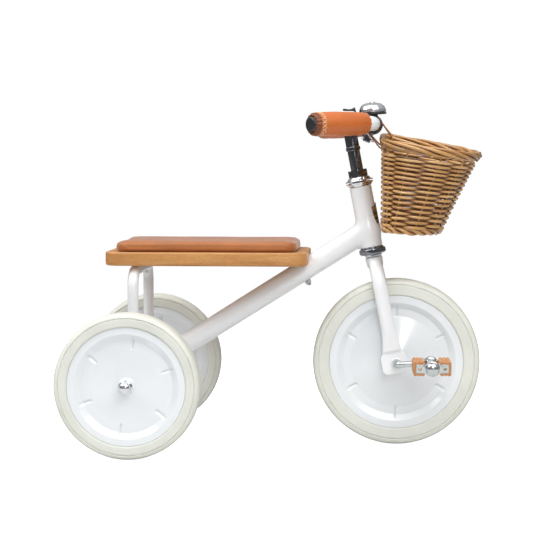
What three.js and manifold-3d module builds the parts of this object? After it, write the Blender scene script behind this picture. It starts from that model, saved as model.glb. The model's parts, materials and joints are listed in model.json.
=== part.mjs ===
// A children's tricycle: steel frame with a seat hoop, wooden seat with a padded top, moulded disc
// wheels with solid rubber tyres, front-hub cranks with block pedals, quill stem, swept handlebar
// with leather grips, bell and a willow basket hung from leather straps.
// Millimetres. +X is forward, +Y is the rider's left, +Z is up.
// The origin is on the ground, straight below the front axle.
import * as THREE from "three";
import { mergeVertices } from "three/addons/utils/BufferGeometryUtils.js";
import Module from "manifold-3d";

const wasm = await Module();
wasm.setup();

// ---- driving dimensions ----------------------------------------------------------------------
const GAP = 0.3; // clearance between pieces that meet face to face
const DEG = Math.PI / 180;
const SIDES = { right: -1, left: 1 };

const FRONT_WHEEL_RADIUS = 150;
const REAR_WHEEL_RADIUS = 126.5;
const FRONT_TYRE_WIDTH = 38;
const REAR_TYRE_WIDTH = 40;
const WHEELBASE = 461;
const REAR_TRACK = 355;
const WHEEL_FACETS = 20; // a multiple of 4, so that a flat of each tyre lies on the ground

const HEAD_ANGLE = 11 * DEG; // how far the steering axis leans back
const RAKE = 4.5; // front axle ahead of the steering axis
const CUP_RADIUS = 23.8;
const HEAD_TUBE_RADIUS = 19.5;
const HEAD_TUBE_BOTTOM = 210.5; // heights along the steering axis, from the front axle
const HEAD_TUBE_TOP = 321.5;
const LOCKNUT_TOP = 351;
const STEERER_RADIUS = 12.7;
const STEERER_BORE = 11.5;

const MAIN_TUBE_RADIUS = 19;
const MAIN_TUBE_ANGLE = 32.4 * DEG; // above the horizontal
const MAIN_TUBE_LENGTH = 486; // rear axle to steering axis
const TUBE_WALL = 1.6;

const AXLE_TUBE_RADIUS = 14;
const AXLE_TUBE_HALF = 156;
const AXLE_RADIUS = 5;
const AXLE_HALF = 205;

// Radii of a wheel's disc: its edge, both ends of its step; and half widths: rim, face, hub boss.
const FRONT_DISC = { disc: 120, stepOuter: 106.5, stepInner: 96, rim: 16.5, face: 9, boss: 29 };
const REAR_DISC = { disc: 102.5, stepOuter: 90.5, stepInner: 80, rim: 17, face: 9.5, boss: 16.5 };

const HOOP_RADIUS = 9.5;
const HOOP_HALF_WIDTH = 92;
const HOOP_X = -463.5;
const HOOP_BEND = 28;

const PLANK = { x0: -516, x1: -157, width: 192, z0: 326, z1: 350, corner: 30 };
const PAD = { x0: -500, x1: -173, width: 176, z0: 350.3, z1: 370, corner: 27 };
const SEAT_BOLT_ALONG_TUBE = 343.8; // rear axle to the front seat bolt
const SEAT_BOLT_RADIUS = 3;
const SEAT_BOLT_SPREAD = 58;

const LEG_RADIUS = 12.2;
const LEG_OFFSET = 33.6; // fork leg centre from the middle of the wheel
const CRANK_ROD_RADIUS = 5.5;
const CRANK_LENGTH = 59.3;
const CRANK_ARM_OFFSET = 53.5;
const CRANK_RISE = 4 * DEG; // how far the right arm stands above the horizontal
const SPINDLE_FLARE = 2.7 * DEG; // the bends aren't quite square: the spindles splay outwards
const SPINDLE_DROOP = 4.6 * DEG; // and dip, out of the plane of the arms
const PEDAL_INNER = 62; // distances from the middle of the wheel
const PEDAL_OUTER = 105;

const BAR_RADIUS = 12.7;
const BAR_CENTRE = { reach: 42.7, height: 425 }; // from the steering axis, along it from the hub
const BAR_STRAIGHT = 100; // half of the middle straight
const BAR_SWEEP = 51 * DEG;
const BAR_BEND = 38;
const BAR_PITCH = 1.7 * DEG; // the grips fall by this much towards the rider
const GRIP_LENGTH = 113.5;
const CLAMP_LEAN = 33 * DEG; // the slot of the bar clamp runs down and back from the bar
const CLAMP_BOLT_DEPTH = 26.5; // below the bar, along the slot
const BELL_OFFSET = -75;
const LEVER_PIVOT = { x: -20.5, z: 12.6 };

const BASKET = {
  backX: -27,
  rimHeight: 547,
  rimSlope: 9.4 * DEG,
  bottomHeight: 391,
  bottomSlope: 5.5 * DEG,
  roll: 3.5 * DEG, // it hangs a little lower on the right
  top: { depth: 172, width: 226, corner: 26 },
  bottom: { depth: 104, width: 164, corner: 16 },
  wall: 6,
};
const STRAP_OFFSET = 50;
const STRAP_WIDTH = 16;
const STRAP_THICKNESS = 3;

// ---- materials -------------------------------------------------------------------------------
const finish = (color, roughness, metalness) =>
  new THREE.MeshStandardMaterial({ color, roughness, metalness });
const WHITE_PAINT = finish(0xf2f2f0, 0.3, 0);
const WHITE_PLASTIC = finish(0xeef1f4, 0.35, 0);
const CREAM_RUBBER = finish(0xdedfcf, 0.6, 0);
const CHROME = finish(0xc8c9cc, 0.12, 1);
const DARK_CHROME = finish(0x45484d, 0.2, 1);
const ZINC = finish(0xb4bfbe, 0.3, 1);
const BEECH = finish(0xc98d52, 0.45, 0);
const TAN_LEATHER = finish(0xb8703a, 0.5, 0);
const TAN_RUBBER = finish(0xc9793f, 0.6, 0);
const BLACK_PLASTIC = finish(0x1c1d20, 0.4, 0);
const WILLOW = finish(0xa9743a, 0.4, 0);
const BRASS = finish(0xb08d57, 0.3, 1);

// ---- geometry helpers ------------------------------------------------------------------------

// A closed geometry as a solid that can be joined and cut.
function solid(geometry) {
  const bare = geometry.clone();
  bare.deleteAttribute("normal");
  bare.deleteAttribute("uv");
  const merged = mergeVertices(bare, 1e-4);
  return new wasm.Manifold(
    new wasm.Mesh({
      numProp: 3,
      vertProperties: merged.attributes.position.array,
      triVerts: new Uint32Array(merged.index.array),
    }),
  );
}

// A joined or cut solid as a geometry again.
function geometryOf(body) {
  const { numProp, numVert, vertProperties, triVerts } = body.getMesh();
  const position = new Float32Array(numVert * 3);
  for (let i = 0; i < numVert; i++) {
    position.set(vertProperties.subarray(i * numProp, i * numProp + 3), i * 3);
  }
  const geometry = new THREE.BufferGeometry();
  geometry.setAttribute("position", new THREE.BufferAttribute(position, 3));
  geometry.setIndex(new THREE.BufferAttribute(triVerts, 1));
  const faceted = geometry.toNonIndexed();
  faceted.computeVertexNormals();
  return faceted;
}

const join = (...geometries) =>
  geometryOf(geometries.map(solid).reduce((a, b) => a.add(b)));

function cut(geometry, ...tools) {
  return geometryOf(tools.map(solid).reduce((a, b) => a.subtract(b), solid(geometry)));
}

const overlap = (a, b) => geometryOf(solid(a).intersect(solid(b)));

function mesh(name, geometry, material) {
  const made = new THREE.Mesh(geometry, material);
  made.name = name;
  return made;
}

// Revolves a profile of [radius, height] points about +Z. A profile that doesn't start and end on
// the axis is closed on itself, which leaves a bore.
function turned(profile, segments = 16) {
  const points = profile.map(([r, h]) => new THREE.Vector2(r, h));
  const bored = profile[0][0] > 0;
  if (bored) {
    points.push(points[0].clone());
  }
  if (THREE.ShapeUtils.area(points) < 0) {
    points.reverse();
  }
  const geometry = new THREE.LatheGeometry(points, segments, Math.PI / segments);
  return geometry.rotateX(Math.PI / 2);
}

const ring = (inner, outer, low, high, segments) =>
  turned([[inner, low], [outer, low], [outer, high], [inner, high]], segments);

const rod = (radius, low, high, segments) =>
  turned([[0, low], [radius, low], [radius, high], [0, high]], segments);

const hexagon = (acrossFlats, low, high) =>
  rod(acrossFlats / Math.sqrt(3), low, high, 6);

const box = (x0, x1, y0, y1, z0, z1) =>
  new THREE.BoxGeometry(x1 - x0, y1 - y0, z1 - z0)
    .translate((x0 + x1) / 2, (y0 + y1) / 2, (z0 + z1) / 2);

// Turns a piece made about +Z so that it lies along +Y (side 1) or -Y (side -1).
const sideways = (geometry, side = 1) => geometry.rotateX((-side * Math.PI) / 2);

function polygon(radius, sides) {
  const points = [];
  for (let i = 0; i < sides; i++) {
    const angle = ((i + 0.5) * 2 * Math.PI) / sides;
    points.push(new THREE.Vector2(radius * Math.cos(angle), radius * Math.sin(angle)));
  }
  return points;
}

// A round tube or bar along a path; a bore of 0 makes it solid.
function swept(path, radius, sides, steps, bore = 0) {
  const section = new THREE.Shape(polygon(radius, sides));
  if (bore > 0) {
    section.holes.push(new THREE.Path(polygon(bore, 6)));
  }
  return new THREE.ExtrudeGeometry(section, {
    extrudePath: path,
    steps,
    bevelEnabled: false,
  });
}

// A path through corner points, with each inner corner rounded to a radius.
function roundedPath(corners, radius) {
  const path = new THREE.CurvePath();
  let from = corners[0];
  for (let i = 1; i < corners.length - 1; i++) {
    const before = corners[i - 1].clone().sub(corners[i]).normalize();
    const after = corners[i + 1].clone().sub(corners[i]).normalize();
    const turn = Math.PI - before.angleTo(after);
    const setback = radius * Math.tan(turn / 2);
    const pull = (4 / 3) * Math.tan(turn / 4) * radius;
    const start = corners[i].clone().addScaledVector(before, setback);
    const end = corners[i].clone().addScaledVector(after, setback);
    path.add(new THREE.LineCurve3(from, start));
    path.add(
      new THREE.CubicBezierCurve3(
        start,
        start.clone().addScaledVector(before, -pull),
        end.clone().addScaledVector(after, -pull),
        end,
      ),
    );
    from = end;
  }
  path.add(new THREE.LineCurve3(from, corners[corners.length - 1]));
  return path;
}

const vec = (x, y, z) => new THREE.Vector3(x, y, z);

// A rectangle with rounded corners, as a shape in the XY plane.
function roundedRectangle(x0, x1, y0, y1, radius) {
  const shape = new THREE.Shape();
  shape.moveTo(x0 + radius, y0);
  shape.lineTo(x1 - radius, y0);
  shape.absarc(x1 - radius, y0 + radius, radius, -Math.PI / 2, 0, false);
  shape.lineTo(x1, y1 - radius);
  shape.absarc(x1 - radius, y1 - radius, radius, 0, Math.PI / 2, false);
  shape.lineTo(x0 + radius, y1);
  shape.absarc(x0 + radius, y1 - radius, radius, Math.PI / 2, Math.PI, false);
  shape.lineTo(x0, y0 + radius);
  shape.absarc(x0 + radius, y0 + radius, radius, Math.PI, 1.5 * Math.PI, false);
  return shape;
}

const extruded = (shape, depth, curveSegments = 5) =>
  new THREE.ExtrudeGeometry(shape, { depth, bevelEnabled: false, curveSegments });

// An extrusion of a shape drawn in the XZ plane, centred on y = 0.
const upright = (shape, width, curveSegments) =>
  extruded(shape, width, curveSegments)
    .translate(0, 0, -width / 2)
    .rotateX(Math.PI / 2);

// A rounded slab with its two long edges eased.
function easedSlab({ x0, x1, width, z0, z1, corner }, ease) {
  const shape = roundedRectangle(
    x0 + ease,
    x1 - ease,
    -width / 2 + ease,
    width / 2 - ease,
    corner - ease,
  );
  return new THREE.ExtrudeGeometry(shape, {
    depth: z1 - z0 - 2 * ease,
    bevelThickness: ease,
    bevelSize: ease,
    bevelSegments: 1,
    curveSegments: 4,
  }).translate(0, 0, z0 + ease);
}

// ---- frame -----------------------------------------------------------------------------------

function headTube() {
  const tube = ring(15.4, HEAD_TUBE_RADIUS, HEAD_TUBE_BOTTOM, HEAD_TUBE_TOP, 20);
  return mesh("head_tube", tube, WHITE_PAINT);
}

function headsetCups() {
  const low = HEAD_TUBE_BOTTOM - GAP;
  const high = HEAD_TUBE_TOP + GAP;
  const lower = turned([
    [20, low], [CUP_RADIUS, low - 4], [CUP_RADIUS, low - 10], [22, low - 12.5],
    [20.4, low - 12.5], [20.4, low - 4], [15.4, low - 4], [15.4, low],
  ]);
  const upper = turned([
    [15.4, high], [20.4, high], [23.4, high + 2], [24.6, high + 6.5],
    [21, high + 6.5], [21, high + 3.2], [15.4, high + 3.2],
  ]);
  return [
    mesh("lower_headset_cup", lower, DARK_CHROME),
    mesh("upper_headset_cup", upper, CHROME),
  ];
}

// Ball races, each shown as one ring of the balls' size inside its cup.
function bearings() {
  const lower = ring(15.9, 19.9, HEAD_TUBE_BOTTOM - 9.2, HEAD_TUBE_BOTTOM - 5, 16);
  const upper = ring(15.9, 20.2, HEAD_TUBE_TOP + 4, HEAD_TUBE_TOP + 8, 16);
  return [mesh("lower_bearing", lower, CHROME), mesh("upper_bearing", upper, CHROME)];
}

// A blank shield, rolled to the head tube's front.
function headBadge() {
  const centre = 260;
  const shape = new THREE.Shape([
    new THREE.Vector2(0, 29),
    new THREE.Vector2(18.6, 21),
    new THREE.Vector2(17.2, 0),
    new THREE.Vector2(11, -17),
    new THREE.Vector2(0, -30),
    new THREE.Vector2(-11, -17),
    new THREE.Vector2(-17.2, 0),
    new THREE.Vector2(-18.6, 21),
  ]);
  const stamp = extruded(shape, 40)
    .rotateX(Math.PI / 2)
    .rotateZ(Math.PI / 2)
    .translate(2, 0, centre);
  const sleeve = ring(HEAD_TUBE_RADIUS + GAP, 22.2, centre - 40, centre + 40, 28);
  return mesh("head_badge", overlap(sleeve, stamp), CHROME);
}

// The leaning down tube, from the axle tube up to the head tube, coped to both.
function mainTube() {
  const tilt = Math.PI / 2 - MAIN_TUBE_ANGLE;
  const inner = MAIN_TUBE_RADIUS - TUBE_WALL;
  const tube = ring(inner, MAIN_TUBE_RADIUS, 0, MAIN_TUBE_LENGTH, 20);
  const axleCope = sideways(rod(AXLE_TUBE_RADIUS + GAP, -60, 60, 20));
  const headCope = rod(HEAD_TUBE_RADIUS + GAP, -90, 90, 20)
    .rotateY(-HEAD_ANGLE - tilt)
    .translate(0, 0, MAIN_TUBE_LENGTH);
  const boltHole = rod(SEAT_BOLT_RADIUS + 0.5, -30, 30, 10)
    .rotateY(Math.PI / 2)
    .translate(0, 0, SEAT_BOLT_ALONG_TUBE);
  const offcut = box(-60, 60, -60, 60, MAIN_TUBE_LENGTH, MAIN_TUBE_LENGTH + 60);
  const coped = cut(tube, axleCope, headCope, boltHole, offcut);
  return largestPiece("main_tube", coped, WHITE_PAINT);
}

// Coping can leave slivers behind a joint; only the tube itself is kept.
function largestPiece(name, geometry, material) {
  const pieces = solid(geometry).decompose();
  pieces.sort((a, b) => b.volume() - a.volume());
  return mesh(name, geometryOf(pieces[0]), material);
}

function frontSeatBolt() {
  const shank = rod(SEAT_BOLT_RADIUS, -28, 36, 10);
  const nut = cut(
    join(ring(3.3, 6.4, -21.1, -19.6, 16), hexagon(10, -25.6, -21.0)),
    rod(SEAT_BOLT_RADIUS + GAP, -30, 0, 10),
  );
  const group = new THREE.Group();
  group.add(mesh("seat_bolt_front", shank, ZINC));
  group.add(mesh("seat_nut_front", nut, ZINC));
  group.rotation.y = -Math.PI / 2;
  group.position.z = SEAT_BOLT_ALONG_TUBE;
  return group;
}

function axleTube() {
  const bored = sideways(
    ring(AXLE_RADIUS + 0.8, AXLE_TUBE_RADIUS, -AXLE_TUBE_HALF, AXLE_TUBE_HALF, 20),
  );
  return mesh("rear_axle_tube", bored, WHITE_PAINT);
}

function rearAxle() {
  return mesh("rear_axle", sideways(rod(AXLE_RADIUS, -AXLE_HALF, AXLE_HALF, 12)), ZINC);
}

function capNut(name, side) {
  const inner = AXLE_HALF - 9.6;
  const nut = turned([
    [0, inner + 17.2], [5.5, inner + 15.6], [9, inner + 11], [9.8, inner + 3.4],
    [12.4, inner + 2], [12.4, inner], [AXLE_RADIUS + GAP, inner],
    [AXLE_RADIUS + GAP, AXLE_HALF + GAP], [0, AXLE_HALF + GAP],
  ], 12);
  return mesh(name, sideways(nut, side), CHROME);
}

// The seat's inverted U, welded on the axle tube.
function seatHoop() {
  const top = PLANK.z0 - GAP - HOOP_RADIUS - REAR_WHEEL_RADIUS;
  const path = roundedPath(
    [
      vec(0, -HOOP_HALF_WIDTH, 0),
      vec(0, -HOOP_HALF_WIDTH, top),
      vec(0, HOOP_HALF_WIDTH, top),
      vec(0, HOOP_HALF_WIDTH, 0),
    ],
    HOOP_BEND,
  );
  const tube = swept(path, HOOP_RADIUS, 8, 30, HOOP_RADIUS - TUBE_WALL);
  const offset = HOOP_X + WHEELBASE;
  const cope = sideways(rod(AXLE_TUBE_RADIUS + GAP, -130, 130, 20)).translate(-offset, 0, 0);
  const holes = [-1, 1].map((side) =>
    rod(SEAT_BOLT_RADIUS + 0.5, top - 20, top + 20, 8).translate(0, side * SEAT_BOLT_SPREAD, 0),
  );
  const made = largestPiece("seat_hoop", cut(tube, cope, ...holes), WHITE_PAINT);
  made.position.set(HOOP_X, 0, REAR_WHEEL_RADIUS);
  return made;
}

function rearSeatBolt(name, side) {
  const low = PLANK.z0 - 2 * HOOP_RADIUS - 0.8;
  const bolt = turned([
    [0, low - 3.4], [3.4, low - 3.2], [5.8, low - 1.4], [6, low],
    [SEAT_BOLT_RADIUS, low], [SEAT_BOLT_RADIUS, PLANK.z0 + 18], [0, PLANK.z0 + 18],
  ], 12);
  const made = mesh(name, bolt, ZINC);
  made.position.set(HOOP_X, side * SEAT_BOLT_SPREAD, 0);
  return made;
}

// ---- seat ------------------------------------------------------------------------------------

function seatPlank() {
  const slab = easedSlab(PLANK, 2.5);
  const tilt = Math.PI / 2 - MAIN_TUBE_ANGLE;
  const tubeSeat = rod(MAIN_TUBE_RADIUS + 0.6, 200, 600, 20).rotateY(tilt);
  const boltHole = rod(SEAT_BOLT_RADIUS + 0.5, 0, 37, 10)
    .rotateY(-Math.PI / 2)
    .translate(0, 0, SEAT_BOLT_ALONG_TUBE)
    .rotateY(tilt);
  const toAxle = [tubeSeat, boltHole].map((tool) =>
    tool.translate(-WHEELBASE, 0, REAR_WHEEL_RADIUS),
  );
  const rearHoles = [-1, 1].map((side) =>
    rod(SEAT_BOLT_RADIUS + 0.5, PLANK.z0 - 5, PLANK.z0 + 19, 8)
      .translate(HOOP_X, side * SEAT_BOLT_SPREAD, 0),
  );
  return mesh("seat_plank", cut(slab, ...toAxle, ...rearHoles), BEECH);
}

function seatPad() {
  return mesh("seat_pad", easedSlab(PAD, 5), TAN_LEATHER);
}

// ---- wheels ----------------------------------------------------------------------------------

// The ratio of a facet's corner radius to its flat's, so that the flats touch the true circle.
const CORNER = 1 / Math.cos(Math.PI / WHEEL_FACETS);

function tyre(name, radius, width, discRadius) {
  const half = width / 2;
  const bore = discRadius + GAP;
  const profile = [
    [bore, -half + 3], [bore + 2.5, -half], [radius - 8.5, -half], [radius, -half + 7],
    [radius, half - 7], [radius - 8.5, half], [bore + 2.5, half], [bore, half - 3],
  ].map(([r, h]) => [r * CORNER, h]);
  return mesh(name, sideways(turned(profile, WHEEL_FACETS)), CREAM_RUBBER);
}

// One moulded half of a wheel: hub boss, recessed face, sloping step and flat rim.
function wheelDisc(name, { disc, stepOuter, stepInner, rim, face, boss }, bore, side) {
  const skin = 3;
  const profile = [
    [bore, GAP / 2], [bore, boss], [12, boss], [14, face], [stepInner, face],
    [stepOuter, rim], [disc, rim], [disc, GAP / 2], [disc - skin, GAP / 2],
    [stepInner - 2, face - skin], [14, GAP / 2],
  ].map(([r, h]) => [r * CORNER, h]);
  return mesh(name, sideways(turned(profile, WHEEL_FACETS), side), WHITE_PLASTIC);
}

function frontWheel() {
  const group = new THREE.Group();
  group.position.set(0, 0, FRONT_WHEEL_RADIUS);
  group.add(tyre("front_tyre", FRONT_WHEEL_RADIUS, FRONT_TYRE_WIDTH, FRONT_DISC.disc));
  for (const [word, side] of Object.entries(SIDES)) {
    group.add(wheelDisc("front_disc_" + word, FRONT_DISC, CRANK_ROD_RADIUS + GAP, side));
  }
  group.add(cranks());
  return group;
}

function rearWheel(word, side) {
  const group = new THREE.Group();
  group.position.set(-WHEELBASE, (side * REAR_TRACK) / 2, REAR_WHEEL_RADIUS);
  const prefix = "rear_" + word + "_";
  group.add(tyre(prefix + "tyre", REAR_WHEEL_RADIUS, REAR_TYRE_WIDTH, REAR_DISC.disc));
  group.add(wheelDisc(prefix + "disc_outer", REAR_DISC, AXLE_RADIUS + 3.5, side));
  group.add(wheelDisc(prefix + "disc_inner", REAR_DISC, AXLE_RADIUS + 3.5, -side));
  const bush = sideways(ring(AXLE_RADIUS + GAP, AXLE_RADIUS + 3.2, -16.4, 16.4, 16));
  group.add(mesh(prefix + "bush", bush, BLACK_PLASTIC));
  return group;
}

// ---- cranks and pedals -----------------------------------------------------------------------

// The way the right pedal's spindle points, outwards.
const SPINDLE = vec(Math.tan(SPINDLE_FLARE), -1, -Math.tan(SPINDLE_DROOP)).normalize();

// The bent rod with both pedals. The right arm points forward.
function cranks() {
  const group = new THREE.Group();
  group.rotation.y = -CRANK_RISE;
  group.add(crankAxle());
  for (const [word, side] of Object.entries(SIDES)) {
    const end = new THREE.Group();
    end.rotation.z = side > 0 ? Math.PI : 0;
    end.add(pedal(word, side));
    group.add(end);
  }
  return group;
}

// One bent rod: pedal spindle, arm, axle, arm, pedal spindle.
function crankAxle() {
  const bend = vec(CRANK_LENGTH, -CRANK_ARM_OFFSET, 0);
  const end = bend.clone().addScaledVector(SPINDLE, PEDAL_OUTER + 2 - CRANK_ARM_OFFSET);
  const opposite = ({ x, y, z }) => vec(-x, -y, z);
  const path = roundedPath(
    [
      end,
      bend,
      vec(0, -CRANK_ARM_OFFSET, 0),
      vec(0, CRANK_ARM_OFFSET, 0),
      opposite(bend),
      opposite(end),
    ],
    8,
  );
  return mesh("crank_axle", swept(path, CRANK_ROD_RADIUS, 8, 42), ZINC);
}

// A block pedal, level whatever the arms do, made for the right side: its outer end faces -Y.
function pedal(word, side) {
  const bore = CRANK_ROD_RADIUS + 0.5;
  const inner = CRANK_ARM_OFFSET - PEDAL_INNER;
  const outer = CRANK_ARM_OFFSET - PEDAL_OUTER;
  const group = new THREE.Group();
  group.position.set(CRANK_LENGTH, -CRANK_ARM_OFFSET, 0);
  group.quaternion.setFromUnitVectors(vec(0, -1, 0), SPINDLE);
  group.rotateY(-side * CRANK_RISE);
  const prefix = "pedal_" + word + "_";

  const innerPlate = join(
    box(-29, 29, inner - 2, inner, -7, 7),
    sideways(rod(14, inner - 2.2, inner + 0.2, 16)),
    sideways(rod(9, outer + 3, inner - 1, 12)),
  );
  const spindleHole = sideways(rod(bore, outer - 5, inner + 5, 12));
  group.add(mesh(prefix + "cage", cut(innerPlate, spindleHole), ZINC));

  const dome = sideways(
    turned([
      [0, -outer - 1.5], [12.4, -outer - 1.5], [12.2, -outer + 1.5], [10.8, -outer + 5.5],
      [7, -outer + 9.4], [0, -outer + 11.2],
    ], 16),
    -1,
  );
  const endPlate = join(box(-28.5, 28.5, outer - 1, outer + 1, -7.6, 7.6), dome);
  const spindlePocket = sideways(rod(bore, outer - 4, outer + 4, 12));
  group.add(mesh(prefix + "end_plate", cut(endPlate, spindlePocket), ZINC));

  for (const [end, sign] of Object.entries({ front: 1, rear: -1 })) {
    const block = upright(blockOutline(), PEDAL_OUTER - PEDAL_INNER - 3.8, 3);
    block.translate(0, (inner + outer) / 2 - 0.5, 0);
    block.rotateZ(sign > 0 ? 0 : Math.PI);
    block.translate(0, sign > 0 ? 0 : inner + outer - 1, 0);
    group.add(mesh(prefix + "block_" + end, block, TAN_RUBBER));
  }
  return group;
}

// A pedal rubber's end view, with three ribs on the top and the bottom.
function blockOutline() {
  const [near, far, half, rib] = [13.5, 32.5, 11, 1.4];
  const pitch = (far - near) / 3;
  const shape = new THREE.Shape();
  shape.moveTo(near, -half);
  for (let i = 0; i < 3; i++) {
    shape.quadraticCurveTo(
      near + (i + 0.5) * pitch,
      -half - 2 * rib,
      near + (i + 1) * pitch,
      -half,
    );
  }
  shape.lineTo(far, half);
  for (let i = 3; i > 0; i--) {
    shape.quadraticCurveTo(
      near + (i - 0.5) * pitch,
      half + 2 * rib,
      near + (i - 1) * pitch,
      half,
    );
  }
  return shape;
}

// ---- fork, headset and stem, in the steering axis's own frame ---------------------------------

function fork() {
  const crown = HEAD_TUBE_BOTTOM - 18;
  const legPath = (side) =>
    new THREE.CatmullRomCurve3([
      vec(0, side * 3, crown - 3),
      vec(0.3, side * 15, crown - 12),
      vec(1, side * 28, crown - 26),
      vec(1.5, side * LEG_OFFSET, crown - 46),
      vec(1.5, side * LEG_OFFSET, crown - 90),
      vec(1.5, side * LEG_OFFSET, 60),
      vec(1.5, side * LEG_OFFSET, 14),
    ]);
  const steerer = rod(STEERER_RADIUS, crown - 14, LOCKNUT_TOP - 3, 16);
  const shoulder = turned([[0, crown - 16], [12, crown - 16], [14.4, crown - 8], [14.4, crown],
    [0, crown]], 16);
  const headroom = box(-40, 40, -60, 60, crown, crown + 60);
  const legs = [-1, 1].map((side) => cut(swept(legPath(side), LEG_RADIUS, 10, 10), headroom));
  const bores = [-1, 1].map((side) => swept(legPath(side), LEG_RADIUS - TUBE_WALL, 6, 10));
  const steererBore = rod(STEERER_BORE, crown - 10, LOCKNUT_TOP, 16);
  const plates = [-1, 1].map((side) => forkEnd(side));
  const outside = join(steerer, shoulder, ...legs);
  const hollow = cut(outside, steererBore, ...bores);
  // The closed leg ends are the axle plates.
  const whole = join(hollow, ...plates);
  const holes = sideways(rod(CRANK_ROD_RADIUS + 2.8, -60, 60, 16)).translate(RAKE, 0, 0);
  return mesh("fork", cut(whole, holes), WHITE_PAINT);
}

function forkEnd(side) {
  const outline = roundedRectangle(-21.5, 24, -18, 19, 9);
  return upright(outline, 6, 4).translate(0, side * 36, 0);
}

function forkBush(name, side) {
  const bush = turned([
    [CRANK_ROD_RADIUS + GAP, 32], [CRANK_ROD_RADIUS + 2.5, 32], [CRANK_ROD_RADIUS + 2.5, 39.4],
    [CRANK_ROD_RADIUS + 4.5, 39.4], [CRANK_ROD_RADIUS + 4.5, 41], [CRANK_ROD_RADIUS + GAP, 41],
  ], 16);
  return mesh(name, sideways(bush, side).translate(RAKE, 0, 0), WHITE_PLASTIC);
}

function headsetMovingParts() {
  const raceTop = HEAD_TUBE_BOTTOM - 14.5;
  const crownRace = ring(STEERER_RADIUS + GAP, 15.2, raceTop - 3, raceTop + 3.5, 20);
  const coneLow = HEAD_TUBE_TOP + 9.2;
  const topRace = turned([
    [STEERER_RADIUS + GAP, coneLow], [25, coneLow], [25, coneLow + 1.8],
    [20, coneLow + 4.6], [18, coneLow + 7.2], [STEERER_RADIUS + GAP, coneLow + 7.2],
  ]);
  const nutLow = coneLow + 7.2 + GAP;
  const locknut = cut(hexagon(32, nutLow, LOCKNUT_TOP), rod(STEERER_RADIUS + GAP, 300, 348.4, 16),
    rod(11.6, 340, 360, 16));
  return [
    mesh("crown_race", crownRace, CHROME),
    mesh("headset_top_race", topRace, CHROME),
    mesh("headset_locknut", locknut, DARK_CHROME),
  ];
}

function stem() {
  const { reach, height } = BAR_CENTRE;
  const shank = turned([
    [0, 262], [8, 262], [11.1, 266], [11.1, 386], [12.9, 386.6], [12.9, 404], [10.5, 411],
    [0, 414],
  ], 16);
  const neckPath = new THREE.CatmullRomCurve3([
    vec(0, 0, 396),
    vec(0.3, 0, 409),
    vec(5, 0, 419.5),
    vec(16, 0, height),
    vec(reach - 12, 0, height),
  ]);
  const neck = swept(neckPath, 11.6, 10, 7);
  const clampRing = sideways(rod(17.6, -15, 15, 20)).translate(reach, 0, height);
  const ears = box(-6.5, 6.5, -10, 10, -33, 0)
    .rotateY(CLAMP_LEAN)
    .translate(reach, 0, height);
  const barBore = sideways(rod(BAR_RADIUS + 0.25, -30, 30, 20)).translate(reach, 0, height);
  const slot = box(-1.5, 1.5, -30, 30, -40, 0)
    .rotateY(CLAMP_LEAN)
    .translate(reach, 0, height);
  const pinchHole = clampBoltPlace(rod(3.4, -20, 20, 10));
  const headRoom = clampBoltPlace(rod(6.6, -20, -6.5, 12));
  const longBore = rod(4.6, 255, 410, 10);
  const counterbore = rod(7.6, 407, 445, 12);
  const body = join(shank, neck, clampRing, ears);
  const openings = [barBore, slot, pinchHole, headRoom, longBore, counterbore];
  return mesh("stem", cut(body, ...openings), DARK_CHROME);
}

// Lays a piece made about +Z across the clamp's ears, pointing forward and down.
function clampBoltPlace(geometry) {
  return geometry
    .rotateY(Math.PI / 2)
    .translate(0, 0, -CLAMP_BOLT_DEPTH)
    .rotateY(CLAMP_LEAN)
    .translate(BAR_CENTRE.reach, 0, BAR_CENTRE.height);
}

function clampBolt() {
  const bolt = join(hexagon(10, -10.4, -6.8), rod(3, -7, 13, 10));
  return mesh("bar_clamp_bolt", clampBoltPlace(bolt), ZINC);
}

function expanderBolt() {
  const bolt = join(hexagon(12, 407.4, 412.6), rod(4, 240, 408, 10));
  return mesh("stem_expander_bolt", bolt, ZINC);
}

// ---- handlebar, grips and bell, about the middle of the bar ------------------------------------

// Where a point lies that is so far along the bar's swept end, measured from the bend.
function gripPoint(along, side) {
  const bendX = -BAR_BEND * (1 - Math.cos(BAR_SWEEP));
  const bendY = BAR_STRAIGHT + BAR_BEND * Math.sin(BAR_SWEEP);
  return vec(
    bendX - along * Math.sin(BAR_SWEEP),
    side * (bendY + along * Math.cos(BAR_SWEEP)),
    0,
  );
}

function handlebar() {
  const corner = BAR_STRAIGHT + BAR_BEND * Math.tan(BAR_SWEEP / 2);
  const path = roundedPath(
    [
      gripPoint(GRIP_LENGTH, -1),
      vec(0, -corner, 0),
      vec(0, corner, 0),
      gripPoint(GRIP_LENGTH, 1),
    ],
    BAR_BEND,
  );
  return mesh("handlebar", swept(path, BAR_RADIUS, 10, 30, BAR_RADIUS - 2), WHITE_PAINT);
}

// Lays a piece made about +Z along a swept end, starting at the bend.
function onGrip(piece, side) {
  piece.rotation.x = (-side * Math.PI) / 2;
  const holder = new THREE.Group();
  holder.position.copy(gripPoint(0, side));
  holder.rotation.z = side * BAR_SWEEP;
  holder.add(piece);
  return holder;
}

function grip(name, side) {
  const bore = BAR_RADIUS + 0.7;
  const sleeve = turned([
    [bore, 0.5], [16, 0.5], [18.6, 9], [20.4, 32], [20.8, 64], [19.6, 93], [19, 106],
    [17, GRIP_LENGTH - 1], [bore, GRIP_LENGTH - 1],
  ], 14);
  return onGrip(mesh(name, sleeve, TAN_LEATHER), side);
}

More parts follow.
